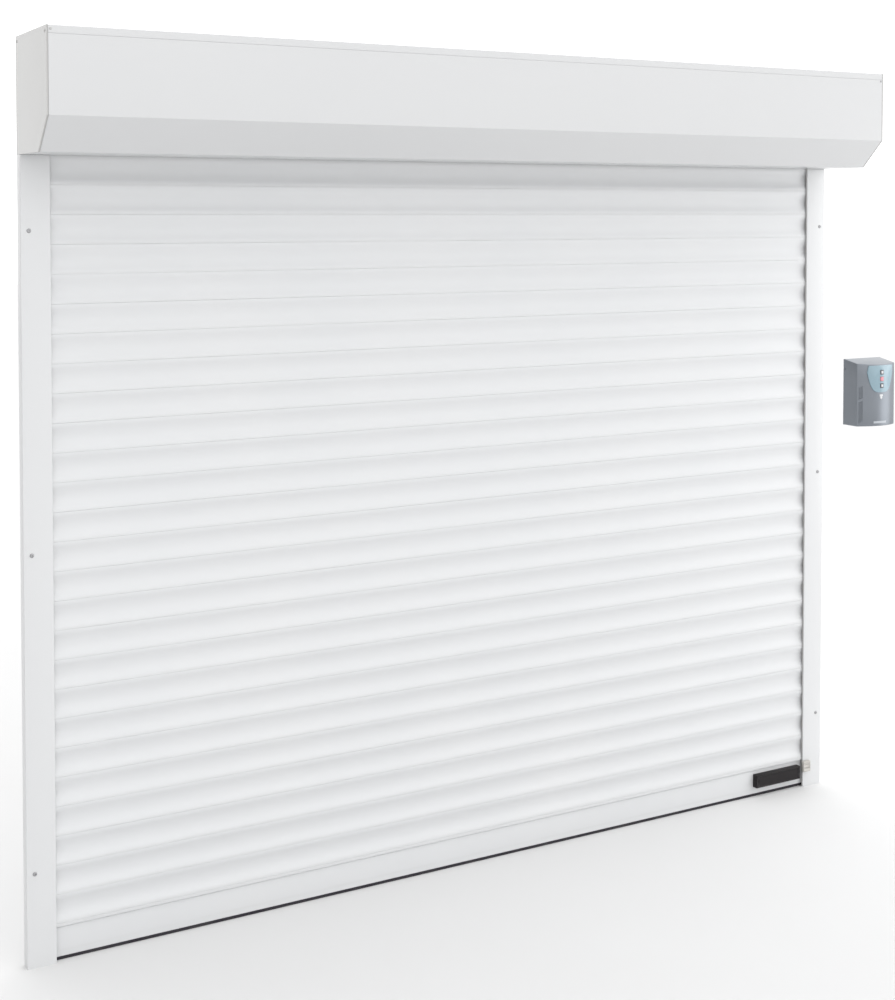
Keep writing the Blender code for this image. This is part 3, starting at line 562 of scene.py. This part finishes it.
def paint(material, *names):
    for name in names:
        mesh = nodes[name].data
        mesh.materials.clear()
        mesh.materials.append(material)


def drift(seed, height, length):
    """A smooth small sideways drift in y and z along X."""
    def sway(x):
        y = noise.noise(Vector((x / length, seed * 7.31, 0.5)))
        z = noise.noise(Vector((x / length, 4.7, seed * 3.17)))
        return Vector((0, height * y, 0.4 * height * z))
    return sway


# ---- Curtain -----------------------------------------------------------------------------------

def room_face(height):
    """Depth of a slat's room face above its lower joint: a rounded ridge at each joint, a hollow between."""
    height += CREST_DROP
    slope = 4 * (CREST_DEPTH - VALLEY_DEPTH) / SLAT_PITCH
    to_crest = min(abs(height), abs(SLAT_PITCH - height))
    if to_crest < RIDGE_HALF:
        return CREST_DEPTH - slope * to_crest ** 2 / (2 * RIDGE_HALF)
    to_valley = SLAT_PITCH / 2 - to_crest
    return VALLEY_DEPTH + slope * to_valley ** 2 / (SLAT_PITCH - 2 * RIDGE_HALF)


def back_face(height):
    return BACK_DEPTH + BACK_BOW * (2 * height / SLAT_PITCH - 1) ** 2


def hook_arc(radius, half_opening, steps, clockwise):
    """Points round the hook's centre above a joint, open at the bottom by a half width."""
    opening = math.asin(half_opening / radius)
    sweep = math.tau - 2 * opening
    points = []
    for step in range(steps + 1):
        angle = -math.pi / 2 + opening + sweep * step / steps
        points.append((HOOK_DEPTH + radius * math.cos(angle), HOOK_HEIGHT + radius * math.sin(angle)))
    return points[::-1] if clockwise else points


def up_front(steps, low, high):
    """Points of the room face between two heights."""
    return [(room_face(height), height) for height in spaced(low, high, steps)]


def slat_outline():
    """A slat's section: curved faces, a bulb on top and the socket that hooks over the next bulb."""
    top = SLAT_PITCH - SHOULDER
    points = up_front(30, -SKIRT, top)
    points += [(HOOK_DEPTH + NECK_HALF, top)]
    points += [(depth, height + SLAT_PITCH) for depth, height in hook_arc(BULB_RADIUS, NECK_HALF, 10, False)]
    points += [(HOOK_DEPTH - NECK_HALF, top), (back_face(top), top)]
    points += [(back_face(part * SLAT_PITCH), part * SLAT_PITCH) for part in (0.85, 0.7, 0.5, 0.3, 0.15)]
    points += [(back_face(-SKIRT), -SKIRT), (HOOK_DEPTH - MOUTH_HALF, -SKIRT)]
    points += hook_arc(SOCKET_RADIUS, MOUTH_HALF, 10, True)
    points += [(HOOK_DEPTH + MOUTH_HALF, -SKIRT)]
    return rounded(points, 0.0003, 2, least=55)


def raised(outline, bottom):
    return [(-depth, bottom + height) for depth, height in outline]


def add_slats():
    outline = slat_outline()
    for number in range(SLAT_COUNT):
        bottom = FIRST_JOINT + SLAT_PITCH * number
        stations = spaced(-SLAT_END, SLAT_END, 26)
        body = run([raised(outline, bottom)], stations, "X", drift(number + 1, 0.00022, 0.7))
        first = number - number % 2
        made = piece(f"slat_{number + 1:02d}", body, SLAT_WHITE, "curtain", 40)
        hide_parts(f"slats_{first + 1:02d}_{first + 2:02d}")


def add_slat_ends():
    """Plastic wear caps over the slats' ends, inside the guides."""
    start, shoulder, end = 1.2795, 1.3035, 1.3050
    for side_name, side in (("left", -1), ("right", 1)):
        caps = []
        for number in range(SLAT_COUNT):
            bottom = FIRST_JOINT + SLAT_PITCH * number
            low, high = 0.003, SLAT_PITCH - 0.004
            front = [(depth + 0.0004, height) for depth, height in up_front(14, low, high)]
            back = [(back_face(height) - 0.0004, height) for height in (high, 0.5 * SLAT_PITCH, low)]
            body = run([raised(front + back, bottom)], (start, shoulder, end))
            for vert in body.verts:
                if vert.co.x > (shoulder + end) / 2:
                    vert.co.y += 0.0012 if vert.co.y < -0.015 else -0.0008
            caps.append(flipped(body, side))
        piece(f"slat_wear_caps_{side_name}", joined(caps), CAP_PALE, "curtain", 40)


def add_bottom_bar():
    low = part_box("bottom_bar")[0].z
    bottom = low - FIRST_JOINT
    groove = BAR_FACE - 0.0025
    outline = [(BAR_FACE, bottom), (BAR_FACE, -0.0155), (groove, -0.0150), (groove, -0.0130)]
    outline += up_front(10, -0.0125, -SHOULDER)
    outline += [(HOOK_DEPTH + NECK_HALF, -SHOULDER)]
    outline += hook_arc(BULB_RADIUS, NECK_HALF, 10, False)
    outline += [(HOOK_DEPTH - NECK_HALF, -SHOULDER), (back_face(0.0), -SHOULDER), (back_face(0.0), bottom)]
    outline = rounded(outline, 0.0009, 3, least=40)
    stations = spaced(-SLAT_END, SLAT_END, 26)
    body = run([raised(outline, FIRST_JOINT)], stations, "X", drift(0, 0.00012, 0.9))
    piece("bottom_rail", body, SLAT_WHITE, "curtain", 40, ["bottom_bar"])
    plugs = []
    for side in (-1, 1):
        near, far = (SLAT_END + 0.0002, -0.0185, low + 0.004), (SLAT_END + 0.0048, -0.0105, low + 0.068)
        plugs.append(flipped(slab(near, far, 0.0015), side))
    piece("bottom_rail_plugs", joined(plugs), BLACK_PLASTIC, "curtain", 40)


def add_bottom_seal():
    low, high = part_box("bottom_seal")
    front, back = -low.y, -high.y
    tall = high.z - low.z
    outline = [
        (back + 0.0010, 0.0), (front - 0.0010, 0.0), (front - 0.0002, 0.0012), (front, 0.0024),
        (front - 0.0012, 0.0034), (front - 0.0002, 0.0044), (front - 0.0012, 0.0054),
        (front - 0.0003, 0.0064),
        (front - 0.0003, tall), (back + 0.0004, tall), (back + 0.0003, 0.0064), (back + 0.0010, 0.0054),
        (back + 0.0002, 0.0044), (back + 0.0010, 0.0034), (back, 0.0024),
        (back + 0.0002, 0.0012),
    ]
    outline = rounded([(depth, height) for depth, height in outline], 0.0006, 2, least=20)
    stations = spaced(low.x, high.x, 26)
    body = run([raised(outline, low.z)], stations, "X", lambda x: Vector((0, 0.0002 * math.sin(9 * x), 0)))
    piece("ribbed_seal", body, SEAL_BLACK, "curtain", 50, ["bottom_seal"])


# ---- Hood --------------------------------------------------------------------------------------

def add_hood():
    bend = 0.0026
    top_path = [
        (0.0, -HALF_HOOD),
        (0.0, HALF_HOOD),
        (-HOOD_DEPTH, HALF_HOOD),
        (-HOOD_DEPTH, HALF_HOOD - FLANGE_HEIGHT + GAP),
    ]
    stations = spaced(COVER_SLIT - COVER_END, COVER_END - COVER_SLIT, 36)
    top = run([sheet(rounded(top_path, bend, 5, False), SHEET)], stations)
    piece("hood_top_sheet", top, HOOD_WHITE, "frame", 40, ["hood_top_cover"])
    flange_line = HALF_HOOD - FLANGE_HEIGHT
    tongue = -HOOD_DEPTH + TONGUE_SETBACK
    front_path = [
        (tongue, flange_line + 0.6 * FLANGE_HEIGHT),
        (tongue, flange_line),
        (-HOOD_DEPTH, flange_line),
        (-HOOD_DEPTH, HOOD_CHAMFER - HALF_HOOD),
        (HOOD_CHAMFER - HOOD_DEPTH, -HALF_HOOD),
        (-HEM_DEPTH, -HALF_HOOD),
        (-HEM_DEPTH, HEM_HEIGHT - HALF_HOOD),
    ]
    radii = [0, 0, 0.0008, bend, bend, 0.0016, 0]
    front = run([sheet(rounded(front_path, radii, 5, False), SHEET)], stations)
    piece("hood_front_sheet", front, HOOD_WHITE, "frame", 40, ["hood_front_cover"])
    for side in ("left", "right"):
        soften("end_plate_" + side, 0.0007)
    # The end plates take the darker copy of the white coat: painted shade.
    paint(SHADED_PLATE_WHITE, "end_plate_left", "end_plate_right")


def add_straps():
    """Spring steel hangers from the top slat's bulb to the roller, clear of its corners, and anchors."""
    for number in (1, 2, 3):
        name = f"hanger_strap_{number}"
        low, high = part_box(name)
        roller = low.y + STRAP_SHEET + STRAP_CLEARANCE
        path = [(roller, high.z), (roller, -0.013), (high.y - 0.0047, low.z + 0.0102)]
        path += [(high.y - 0.0007, low.z + 0.0002)]
        strap = run([sheet(rounded(path, 0.004, 5, False), STRAP_SHEET)], spaced(low.x, high.x, 4))
        made = piece(f"strap_{number}", strap, STEEL, None, 40, [name])
        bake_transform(made)
        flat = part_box("roller_tube")[1].y
        pad = slab((low.x + 0.010, flat + 0.0002, -0.008), (high.x - 0.010, flat + 0.0036, 0.008), 0.0010, 2)
        piece(f"strap_anchor_{number}", pad, STEEL, "roller", 40)


def rivet(radius, height):
    profile = [(-height, 0.0), (-height, 0.35 * radius), (-0.75 * height, 0.72 * radius)]
    profile += [(-0.25 * height, radius), (0.0, radius), (0.0, 0.0)]
    return turned(profile, 20)


def add_rivets():
    for side_name, side in (("left", -1), ("right", 1)):
        heads = []
        for depth in (0.014, HOOD_DEPTH - 0.014):
            head = shifted(rivet(0.0042, 0.0016), turn=Matrix.Rotation(math.pi, 3, "Z"))
            heads.append(flipped(shifted(head, (PLATE_OUTER, -depth, HALF_HOOD - 0.014)), side))
        piece(f"plate_rivets_{side_name}", joined(heads), SHADED_PLATE_WHITE, "frame", 50)
        head = shifted(rivet(0.0034, 0.0012), turn=Matrix.Rotation(math.pi / 2, 3, "Z"))
        # The two flange rivets are one kind, yet the left one takes the white coat and the right one dark
        # steel: painted light and painted shade, a lit pale dot at the left and a shaded dark dot at the
        # right.
        down, material = (0.0100, SHADED_PLATE_WHITE) if side < 0 else (0.0250, SCREW_STEEL)
        head = shifted(head, (side * (COVER_END - 0.0060), -HOOD_DEPTH, HALF_HOOD - down))
        piece(f"flange_rivet_{side_name}", head, material, "frame", 50)


# ---- Guides ------------------------------------------------------------------------------------

def add_guides():
    front = GUIDE_FRONT
    lip = 0.0040
    lip_wall = GUIDE_INNER + 0.0014
    outline = [
        (GUIDE_INNER, front), (GUIDE_OUTER, front), (GUIDE_OUTER, 0.0), (GUIDE_INNER, 0.0),
        (GUIDE_INNER, -lip), (lip_wall, -lip), (lip_wall, -GUIDE_WALL),
        (SLOT_BOTTOM, -GUIDE_WALL), (SLOT_BOTTOM, front + GUIDE_WALL),
        (lip_wall, front + GUIDE_WALL), (lip_wall, front + lip),
        (GUIDE_INNER, front + lip),
    ]
    radii = [0.0010, 0.0012, 0.0010, 0.0008, 0.0005, 0.0005, 0.0, 0.0, 0.0, 0.0, 0.0005, 0.0005]
    chamber = [
        (SLOT_BOTTOM + WEB_WALL, front + GUIDE_WALL), (GUIDE_OUTER - GUIDE_WALL, front + GUIDE_WALL),
        (GUIDE_OUTER - GUIDE_WALL, -GUIDE_WALL), (SLOT_BOTTOM + WEB_WALL, -GUIDE_WALL),
    ]
    outlines = [rounded(outline, radii, 4), rounded(chamber, 0.0008, 2)]
    for side_name, side in (("left", -1), ("right", 1)):
        body = run(outlines, spaced(FLOOR, GUIDE_TOP, 24), "Z")
        piece(f"guide_rail_{side_name}", flipped(body, side), GUIDE_WHITE, "frame", 40,
              ["guide_" + side_name])
        low, high = front + lip + 0.0003, front + lip + 0.0015
        bead = [(GUIDE_INNER - 0.0008, low), (GUIDE_INNER + 0.0042, low), (GUIDE_INNER + 0.0042, high),
                (GUIDE_INNER - 0.0008, high)]
        bead = run([rounded(bead, 0.0003, 2)], spaced(FLOOR + 0.0005, GUIDE_TOP - 0.0005, 20), "Z")
        piece(f"guide_bead_{side_name}", flipped(bead, side), BEAD_PALE, "frame", 50)
        piece(f"guide_brush_{side_name}", flipped(brush(side), side), BRISTLE, "frame", 30)


def brush(side):
    """Rear brush between the guide and the curtain's wall side, with an uneven fringe."""
    body = bmesh.new()
    strands = 420
    root = -GUIDE_WALL - 0.0001
    rows = []
    for index in range(strands + 1):
        z = FLOOR + 0.001 + (GUIDE_TOP - FLOOR - 0.002) * index / strands
        tip = -0.0066 - 0.0008 * noise.noise(Vector((index * 0.37, side * 5.1, 0)))
        tip += 0.0007 if index % 2 else 0.0
        rows.append([body.verts.new((x, y, z)) for x, y in
                     ((GUIDE_INNER + 0.0060, root), (GUIDE_INNER + 0.0082, root),
                      (GUIDE_INNER + 0.0076, tip), (GUIDE_INNER + 0.0066, tip))])
    bridge(body, rows)
    body.faces.new(rows[0])
    body.faces.new(rows[-1])
    return body


def screw_head():
    """Pan head with a six-lobed recess, facing -X, and its shank."""
    profile = [
        (-0.0010, 0.0), (-0.0010, 0.0015), (-0.0023, 0.0018), (-0.0025, 0.0026), (-0.0021, 0.0041),
        (-0.0013, 0.0052), (-0.0004, 0.0056), (-0.0001, 0.0056), (-0.0001, 0.0021), (0.0330, 0.0021),
        (0.0336, 0.0),
    ]
    return turned(profile, 36, 0.16, (1, 2))


def add_guide_screws():
    turn = Matrix.Rotation(math.pi / 2, 3, "Z")
    for side in ("left", "right"):
        for number in (1, 2, 3):
            name = f"guide_screw_{side}_{number}"
            low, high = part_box(name)
            middle = (low + high) / 2
            body = shifted(screw_head(), (middle.x, GUIDE_FRONT, middle.z), turn)
            piece(f"screw_{side}_{number}", body, SCREW_STEEL, "frame", 35, [name])


# ---- Edge transmitter and sensor block ---------------------------------------------------------

def add_transmitter():
    low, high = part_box("edge_transmitter_lid")
    lid = piece("transmitter_lid", slab(low, high, 0.0019, 4), CASE_DARK, "curtain", 30,
                ["edge_transmitter_lid"])
    near = (low.x + 0.012, low.y - 0.002, low.z + 0.006)
    far = (high.x - 0.012, low.y + 0.0004, high.z - 0.006)
    cut(lid, slab(near, far, 0.0003, 1))
    forward = Matrix.Rotation(math.pi / 2, 3, "Z")
    places = [(x, low.y, (low.z + high.z) / 2) for x in (low.x + 0.0065, high.x - 0.0065)]
    for place in places:
        pocket = turned([(-0.002, 0.0), (-0.002, 0.0032), (0.0018, 0.0030), (0.0018, 0.0)], 20)
        cut(lid, shifted(pocket, place, forward))
    low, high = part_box("edge_transmitter_case")
    case = piece("transmitter_case", slab(low, high, 0.0012, 3), CASE_DARK, "curtain", 30,
                 ["edge_transmitter_case"])
    wall = 0.0022
    near, far = (low.x + wall, low.y - 0.01, low.z + wall), (high.x - wall, high.y - wall, high.z - wall)
    cut(case, slab(near, far, 0.0004, 1))
    screws = []
    for place in places:
        profile = [(0.0010, 0.0), (0.0010, 0.0008), (0.0004, 0.0009), (0.0003, 0.0016), (0.0008, 0.0025),
                   (0.0016, 0.0026), (0.0016, 0.0)]
        screws.append(shifted(turned(profile, 24, 0.15, (1, 2)), place, forward))
    piece("transmitter_screws", joined(screws), SCREW_BLACK, "curtain", 35)


def add_sensor_block():
    low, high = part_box("guide_sensor_block")
    block = piece("sensor_block", slab(low, high, 0.0022, 4), BLOCK_PALE, "frame", 30,
                  ["guide_sensor_block"])
    for rise in (0.011, 0.023):
        near = (low.x + 0.005, low.y - 0.002, low.z + rise)
        far = (high.x - 0.005, low.y + 0.0008, low.z + rise + 0.0015)
        cut(block, slab(near, far, 0.0002, 1))


# ---- Control unit ------------------------------------------------------------------------------

def unit_depth(x):
    """Depth of the unit's smooth curved front at an X place."""
    half = (CONTROL_RIGHT - CONTROL_LEFT) / 2
    return CONTROL_SIDE + CONTROL_BULGE * (1 - ((x - CONTROL_CROWN) / (half + 0.010)) ** 2) - 0.0004


def unit_lean(x):
    """Angle of the unit's front about Z at an X place."""
    return math.atan((unit_depth(x + 0.001) - unit_depth(x - 0.001)) / 0.002)


def louvres():
    """Cutter for two rows of short slanted vent slots at the front's left edge."""
    place = CONTROL_LEFT + VENT_INSET
    heights = [UPPER_VENT_TOP - VENT_PITCH * step for step in range(UPPER_VENTS)]
    heights += [LOWER_VENT_TOP - VENT_PITCH * step for step in range(LOWER_VENTS)]
    slots = []
    for z in heights:
        slot = slab((-0.0080, -0.0020, -0.0015), (0.0080, 0.0021, 0.0015), 0.0006, 1)
        shifted(slot, turn=Matrix.Rotation(math.radians(-24), 3, "Y"))
        lean = Matrix.Rotation(-unit_lean(place), 3, "Z")
        slots.append(shifted(slot, (place, -unit_depth(place), z), lean))
    return joined(slots)


def unit_plan(inset, back):
    """Plan outline of the unit, drawn in by an inset, with rounded front corners."""
    left, right = CONTROL_LEFT + inset, CONTROL_RIGHT - inset
    front = [(x, -unit_depth(x) + inset) for x in spaced(right, left, 40)]
    outline = [(left, -back)] + [(right, -back)] + front
    radii = [0, 0, 0.0045] + [0] * (len(front) - 2) + [0.0045]
    return rounded(outline, radii, 6, True, 10)


def unit_solid(inset, back, edge):
    """The unit's rounded body under its sloping top, drawn in by an inset."""
    body = bmesh.new()
    low, high = CONTROL_BOTTOM + inset, CONTROL_TOP - inset
    levels = []
    for step in range(5):
        angle = math.pi / 2 * step / 4
        levels.append((edge * (1 - math.sin(angle)), low + edge * (1 - math.cos(angle)), 0))
    for part in (0.25, 0.5, 0.75):
        levels.append((0.0, low + (high - low) * part, 0))
    for step in range(5):
        angle = math.pi / 2 * step / 4
        levels.append((edge * (1 - math.cos(angle)), high - edge * (1 - math.sin(angle)), 1))
    rings = []
    for draw, z, sloped in levels:
        plan = unit_plan(inset + draw, back)
        rings.append([body.verts.new((x, y, z + (y * CONTROL_SLOPE if sloped else 0))) for x, y in plan])
    bridge(body, rings)
    body.faces.new(rings[0])
    body.faces.new(rings[-1])
    return body


def add_control_unit():
    wall = 0.0025
    body = unit_solid(0.0, CONTROL_BASE, 0.0026)
    cover = piece("unit_cover", body, UNIT_GREY, "frame", 30, ["control_cover"])
    cut(cover, unit_solid(wall, CONTROL_BASE - 0.003, 0.0005))
    names = ("button_up", "button_stop", "button_down")
    heights = [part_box(name)[0].z + BUTTON_MIDDLE for name in names]
    reach = 0.0055
    near, far = (BUTTON_X - reach, -0.12, heights[2] - reach), (BUTTON_X + reach, -0.05, heights[0] + reach)
    cut(cover, slab(near, far, 0.0005, 1))
    near, far = (CONTROL_LEFT - 0.004, -0.0105, -0.8390), (CONTROL_LEFT + 0.0018, -0.0040, -0.8325)
    cut(cover, slab(near, far, 0.0006, 1))
    for step in range(7):
        z = CONTROL_BOTTOM + 0.012 + 0.0055 * step
        near, far = (CONTROL_RIGHT - 0.0010, -0.050, z), (CONTROL_RIGHT + 0.004, -0.018, z + 0.0022)
        cut(cover, slab(near, far, 0.0005, 1))
    cut(cover, louvres())
    cover.data.set_sharp_from_angle(angle=math.radians(30))
    add_panel(heights)
    for name, height in zip(names, heights):
        add_button(name, height)
    add_arrow()
    soften("control_back_plate", 0.0008)
    paint(UNIT_GREY, "control_back_plate")
    paint(BLACK_PLASTIC, "cable_gland")
    outline = [(0.0002, NAMEPLATE_LOW), (0.0002, NAMEPLATE_HIGH), (-0.0007, NAMEPLATE_HIGH),
               (-0.0007, NAMEPLATE_LOW)]
    stations = spaced(NAMEPLATE_LEFT, NAMEPLATE_RIGHT, 24)
    strip = run([rounded(outline, 0.0003, 2)], stations, "X", lambda x: Vector((0, -unit_depth(x), 0)))
    piece("unit_nameplate", strip, NAMEPLATE, "frame", 40)
    paint(CIRCUIT, "control_board")


def add_arrow():
    """Plain raised arrow under the keypad."""
    arrow = [(-0.0052, 0.0085), (0.0052, 0.0085), (0.0052, 0.0015), (0.0026, 0.0015), (0.0026, -0.0015),
             (0.0045, -0.0015), (0.0, -0.0085), (-0.0045, -0.0015), (-0.0026, -0.0015), (-0.0026, 0.0015),
             (-0.0052, 0.0015)]
    arrow = [(1.35 * x, z) for x, z in arrow]
    lean = unit_lean(BUTTON_X)
    mark = bmesh.new()
    rings = []
    for y in (-0.0004, 0.0002):
        rings.append([mark.verts.new((x, y, z)) for x, z in rounded(arrow, 0.0006, 2)])
    bridge(mark, rings)
    mark.faces.new(rings[0])
    mark.faces.new(rings[1])
    place = (BUTTON_X, -unit_depth(BUTTON_X) - 0.0002, ARROW_HEIGHT)
    shifted(mark, place, Matrix.Rotation(-lean, 3, "Z"))
    piece("unit_arrow_mark", mark, BUTTON_WHITE, "frame", 40)


def add_panel(heights):
    """Curved shield-shaped panel with rounded edges and three square holes."""
    low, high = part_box("keypad_panel")
    left, right, top, bottom = low.x, high.x, high.z, low.z
    middle, half = (left + right) / 2, (right - left) / 2
    body = bmesh.new()
    edge = 0.0011
    rings = []
    outline = [(x, top) for x in spaced(right, left, 24)[:-1]]
    for step in range(41):
        across = -math.cos(math.pi * step / 40)
        x = middle + half * across
        outline.append((x, top + (bottom - top) * (1 - 0.75 * abs(across) ** 4)))
    centre = Vector((middle, (top + bottom) / 2))
    outline = rounded(outline, 0.004, 4, True, 30)
    shoulder = (0.3 * edge, PANEL_WALL - 0.3 * edge)
    for draw, rise in ((0.0, 0.0003), (0.0, PANEL_WALL - edge), shoulder, (edge, PANEL_WALL)):
        ring = []
        for x, z in outline:
            point = Vector((x, z))
            point += (centre - point).normalized() * draw * 1.2
            ring.append(body.verts.new((point.x, -unit_depth(point.x) - rise - 0.0002, point.y)))
        rings.append(ring)
    bridge(body, rings)
    for ring in (rings[0], rings[-1]):
        bmesh.ops.triangle_fill(body, edges=edges_round(body, ring), use_beauty=True)
    panel = piece("keypad", body, PANEL_BLUE, "frame", 30, ["keypad_panel"])
    reach = 0.0080
    for height in heights:
        near, far = (BUTTON_X - reach, -0.12, height - reach), (BUTTON_X + reach, -0.05, height + reach)
        cut(panel, slab(near, far, 0.0008, 2))
    panel.data.set_sharp_from_angle(angle=math.radians(30))


def add_button(name, height):
    """Square push button: a frame plate with a flat cap with rounded edges, on a stem."""
    low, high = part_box(name)
    face = unit_depth(BUTTON_X)
    half = 0.0073
    rest = -face - PANEL_WALL - GAP
    plate_back, plate_front = rest + 0.0009, rest - 0.0006
    stem = slab((-0.0045, plate_back - 0.0005, -0.0045), (0.0045, high.y, 0.0045), 0.0006, 2)
    plate = slab((-half, plate_front, -half), (half, plate_back, half), 0.0007, 3)
    frame_look = (FRAME_DARK, "dark_plastic")
    cap_look = (BUTTON_WHITE, "white_plastic")
    cap_half = 0.0043
    if name == "button_stop":
        frame_look = cap_look = (BUTTON_RED, "red_plastic")
        cap_half = 0.0062
    place = (BUTTON_X, 0, height)
    base = shifted(joined([plate, stem]), place)
    piece(name + "_frame", base, frame_look[0], name, 30, [name])
    cap = slab((-cap_half, low.y, -cap_half), (cap_half, plate_front + 0.0002, cap_half), 0.0005, 4)
    piece(name + "_cap", shifted(cap, place), cap_look[0], name, 30)


# ---- Inside the hood ---------------------------------------------------------------------------

def finish_inner_nodes():
    paint(ZINC, "roller_tube", "motor_tube", "motor_bracket", "idler_bracket", "motor_rotor")
    paint(STEEL, "planet_carrier", "ring_gear", "idler_bearing", *(f"planet_gear_{n}" for n in (1, 2, 3)))
    paint(WINDING, "motor_stator", "brake_coil")
    paint(BLACK_PLASTIC, "idler_cap", "limit_crown", "drive_wheel", "inlet_funnel_left", "inlet_funnel_right")
    paint(HEAD_WHITE, "motor_head")
    for name in ("roller_tube", "motor_bracket", "idler_bracket", "motor_head", "idler_cap", "limit_crown"):
        soften(name, 0.0006)
    for name in ("inlet_funnel_left", "inlet_funnel_right"):
        soften(name, 0.0005)


# ---- Stage, light and camera -------------------------------------------------------------------

def add_stage():
    """A plain pale floor."""
    body = bmesh.new()
    bmesh.ops.create_circle(body, cap_ends=True, radius=40, segments=64)
    mesh = bpy.data.meshes.new("floor")
    body.to_mesh(mesh)
    body.free()
    floor = bpy.data.objects.new("floor", mesh)
    floor.location = (0, 0, FLOOR)
    bpy.context.scene.collection.objects.link(floor)
    pale = bpy.data.materials.new("floor_pale")
    pale.use_nodes = True
    shader = shader_of(pale)
    cloud = ranged(pale, grain(pale, 0.8), 0, 1)
    shade = blended(pale, cloud, (0.735, 0.735, 0.735), (0.75, 0.75, 0.75))
    link(pale, shade, shader.inputs["Base Color"])
    shader.inputs["Roughness"].default_value = 0.9
    shader.inputs["Specular IOR Level"].default_value = 0.1
    mesh.materials.append(pale)


def add_softbox(name, place, target, size, power):
    data = bpy.data.lights.new(name, "AREA")
    data.shape = "RECTANGLE"
    data.size, data.size_y = size
    data.energy = power
    lamp = bpy.data.objects.new(name, data)
    lamp.location = place
    lamp.rotation_euler = (Vector(target) - Vector(place)).to_track_quat("-Z", "Y").to_euler()
    bpy.context.scene.collection.objects.link(lamp)


def add_light():
    """Even white surroundings, dimmer on the left, and a soft box on the right."""
    world = bpy.data.worlds.new("studio")
    bpy.context.scene.world = world
    world.use_nodes = True
    tree = world.node_tree
    background = tree.nodes["Background"]
    background.inputs["Strength"].default_value = 1.0
    place = tree.nodes.new("ShaderNodeTexCoord")
    split = tree.nodes.new("ShaderNodeSeparateXYZ")
    ramp = tree.nodes.new("ShaderNodeMapRange")
    ramp.inputs["From Min"].default_value = -1.0
    ramp.inputs["From Max"].default_value = 0.1
    ramp.inputs["To Min"].default_value = 0.50
    ramp.inputs["To Max"].default_value = 1.64
    ramp.interpolation_type = "SMOOTHSTEP"
    tree.links.new(place.outputs["Generated"], split.inputs["Vector"])
    tree.links.new(split.outputs["X"], ramp.inputs["Value"])
    tree.links.new(ramp.outputs["Result"], background.inputs["Color"])
    add_softbox("right", (2.72, -0.86, -0.8), (1.2, 0.0, -1.2), (0.8, 1.8), 7.2)


def add_camera():
    data = bpy.data.cameras.new("camera")
    camera = bpy.data.objects.new("camera", data)
    bpy.context.scene.collection.objects.link(camera)
    camera.location = (*CAMERA_PLACE, FLOOR + EYE_HEIGHT)
    camera.rotation_euler = (math.radians(90 - CAMERA_PITCH), 0, CAMERA_HEADING)
    data.sensor_fit = "HORIZONTAL"
    data.sensor_width = 36
    data.lens = 62.23
    data.shift_y = -0.2598
    bpy.context.scene.camera = camera


add_camera()
add_slats()
add_slat_ends()
add_bottom_bar()
add_bottom_seal()
add_hood()
add_rivets()
add_straps()
add_guides()
add_guide_screws()
add_transmitter()
add_sensor_block()
add_control_unit()
finish_inner_nodes()
add_stage()
add_light()
bpy.context.scene.view_settings.view_transform = "Standard"
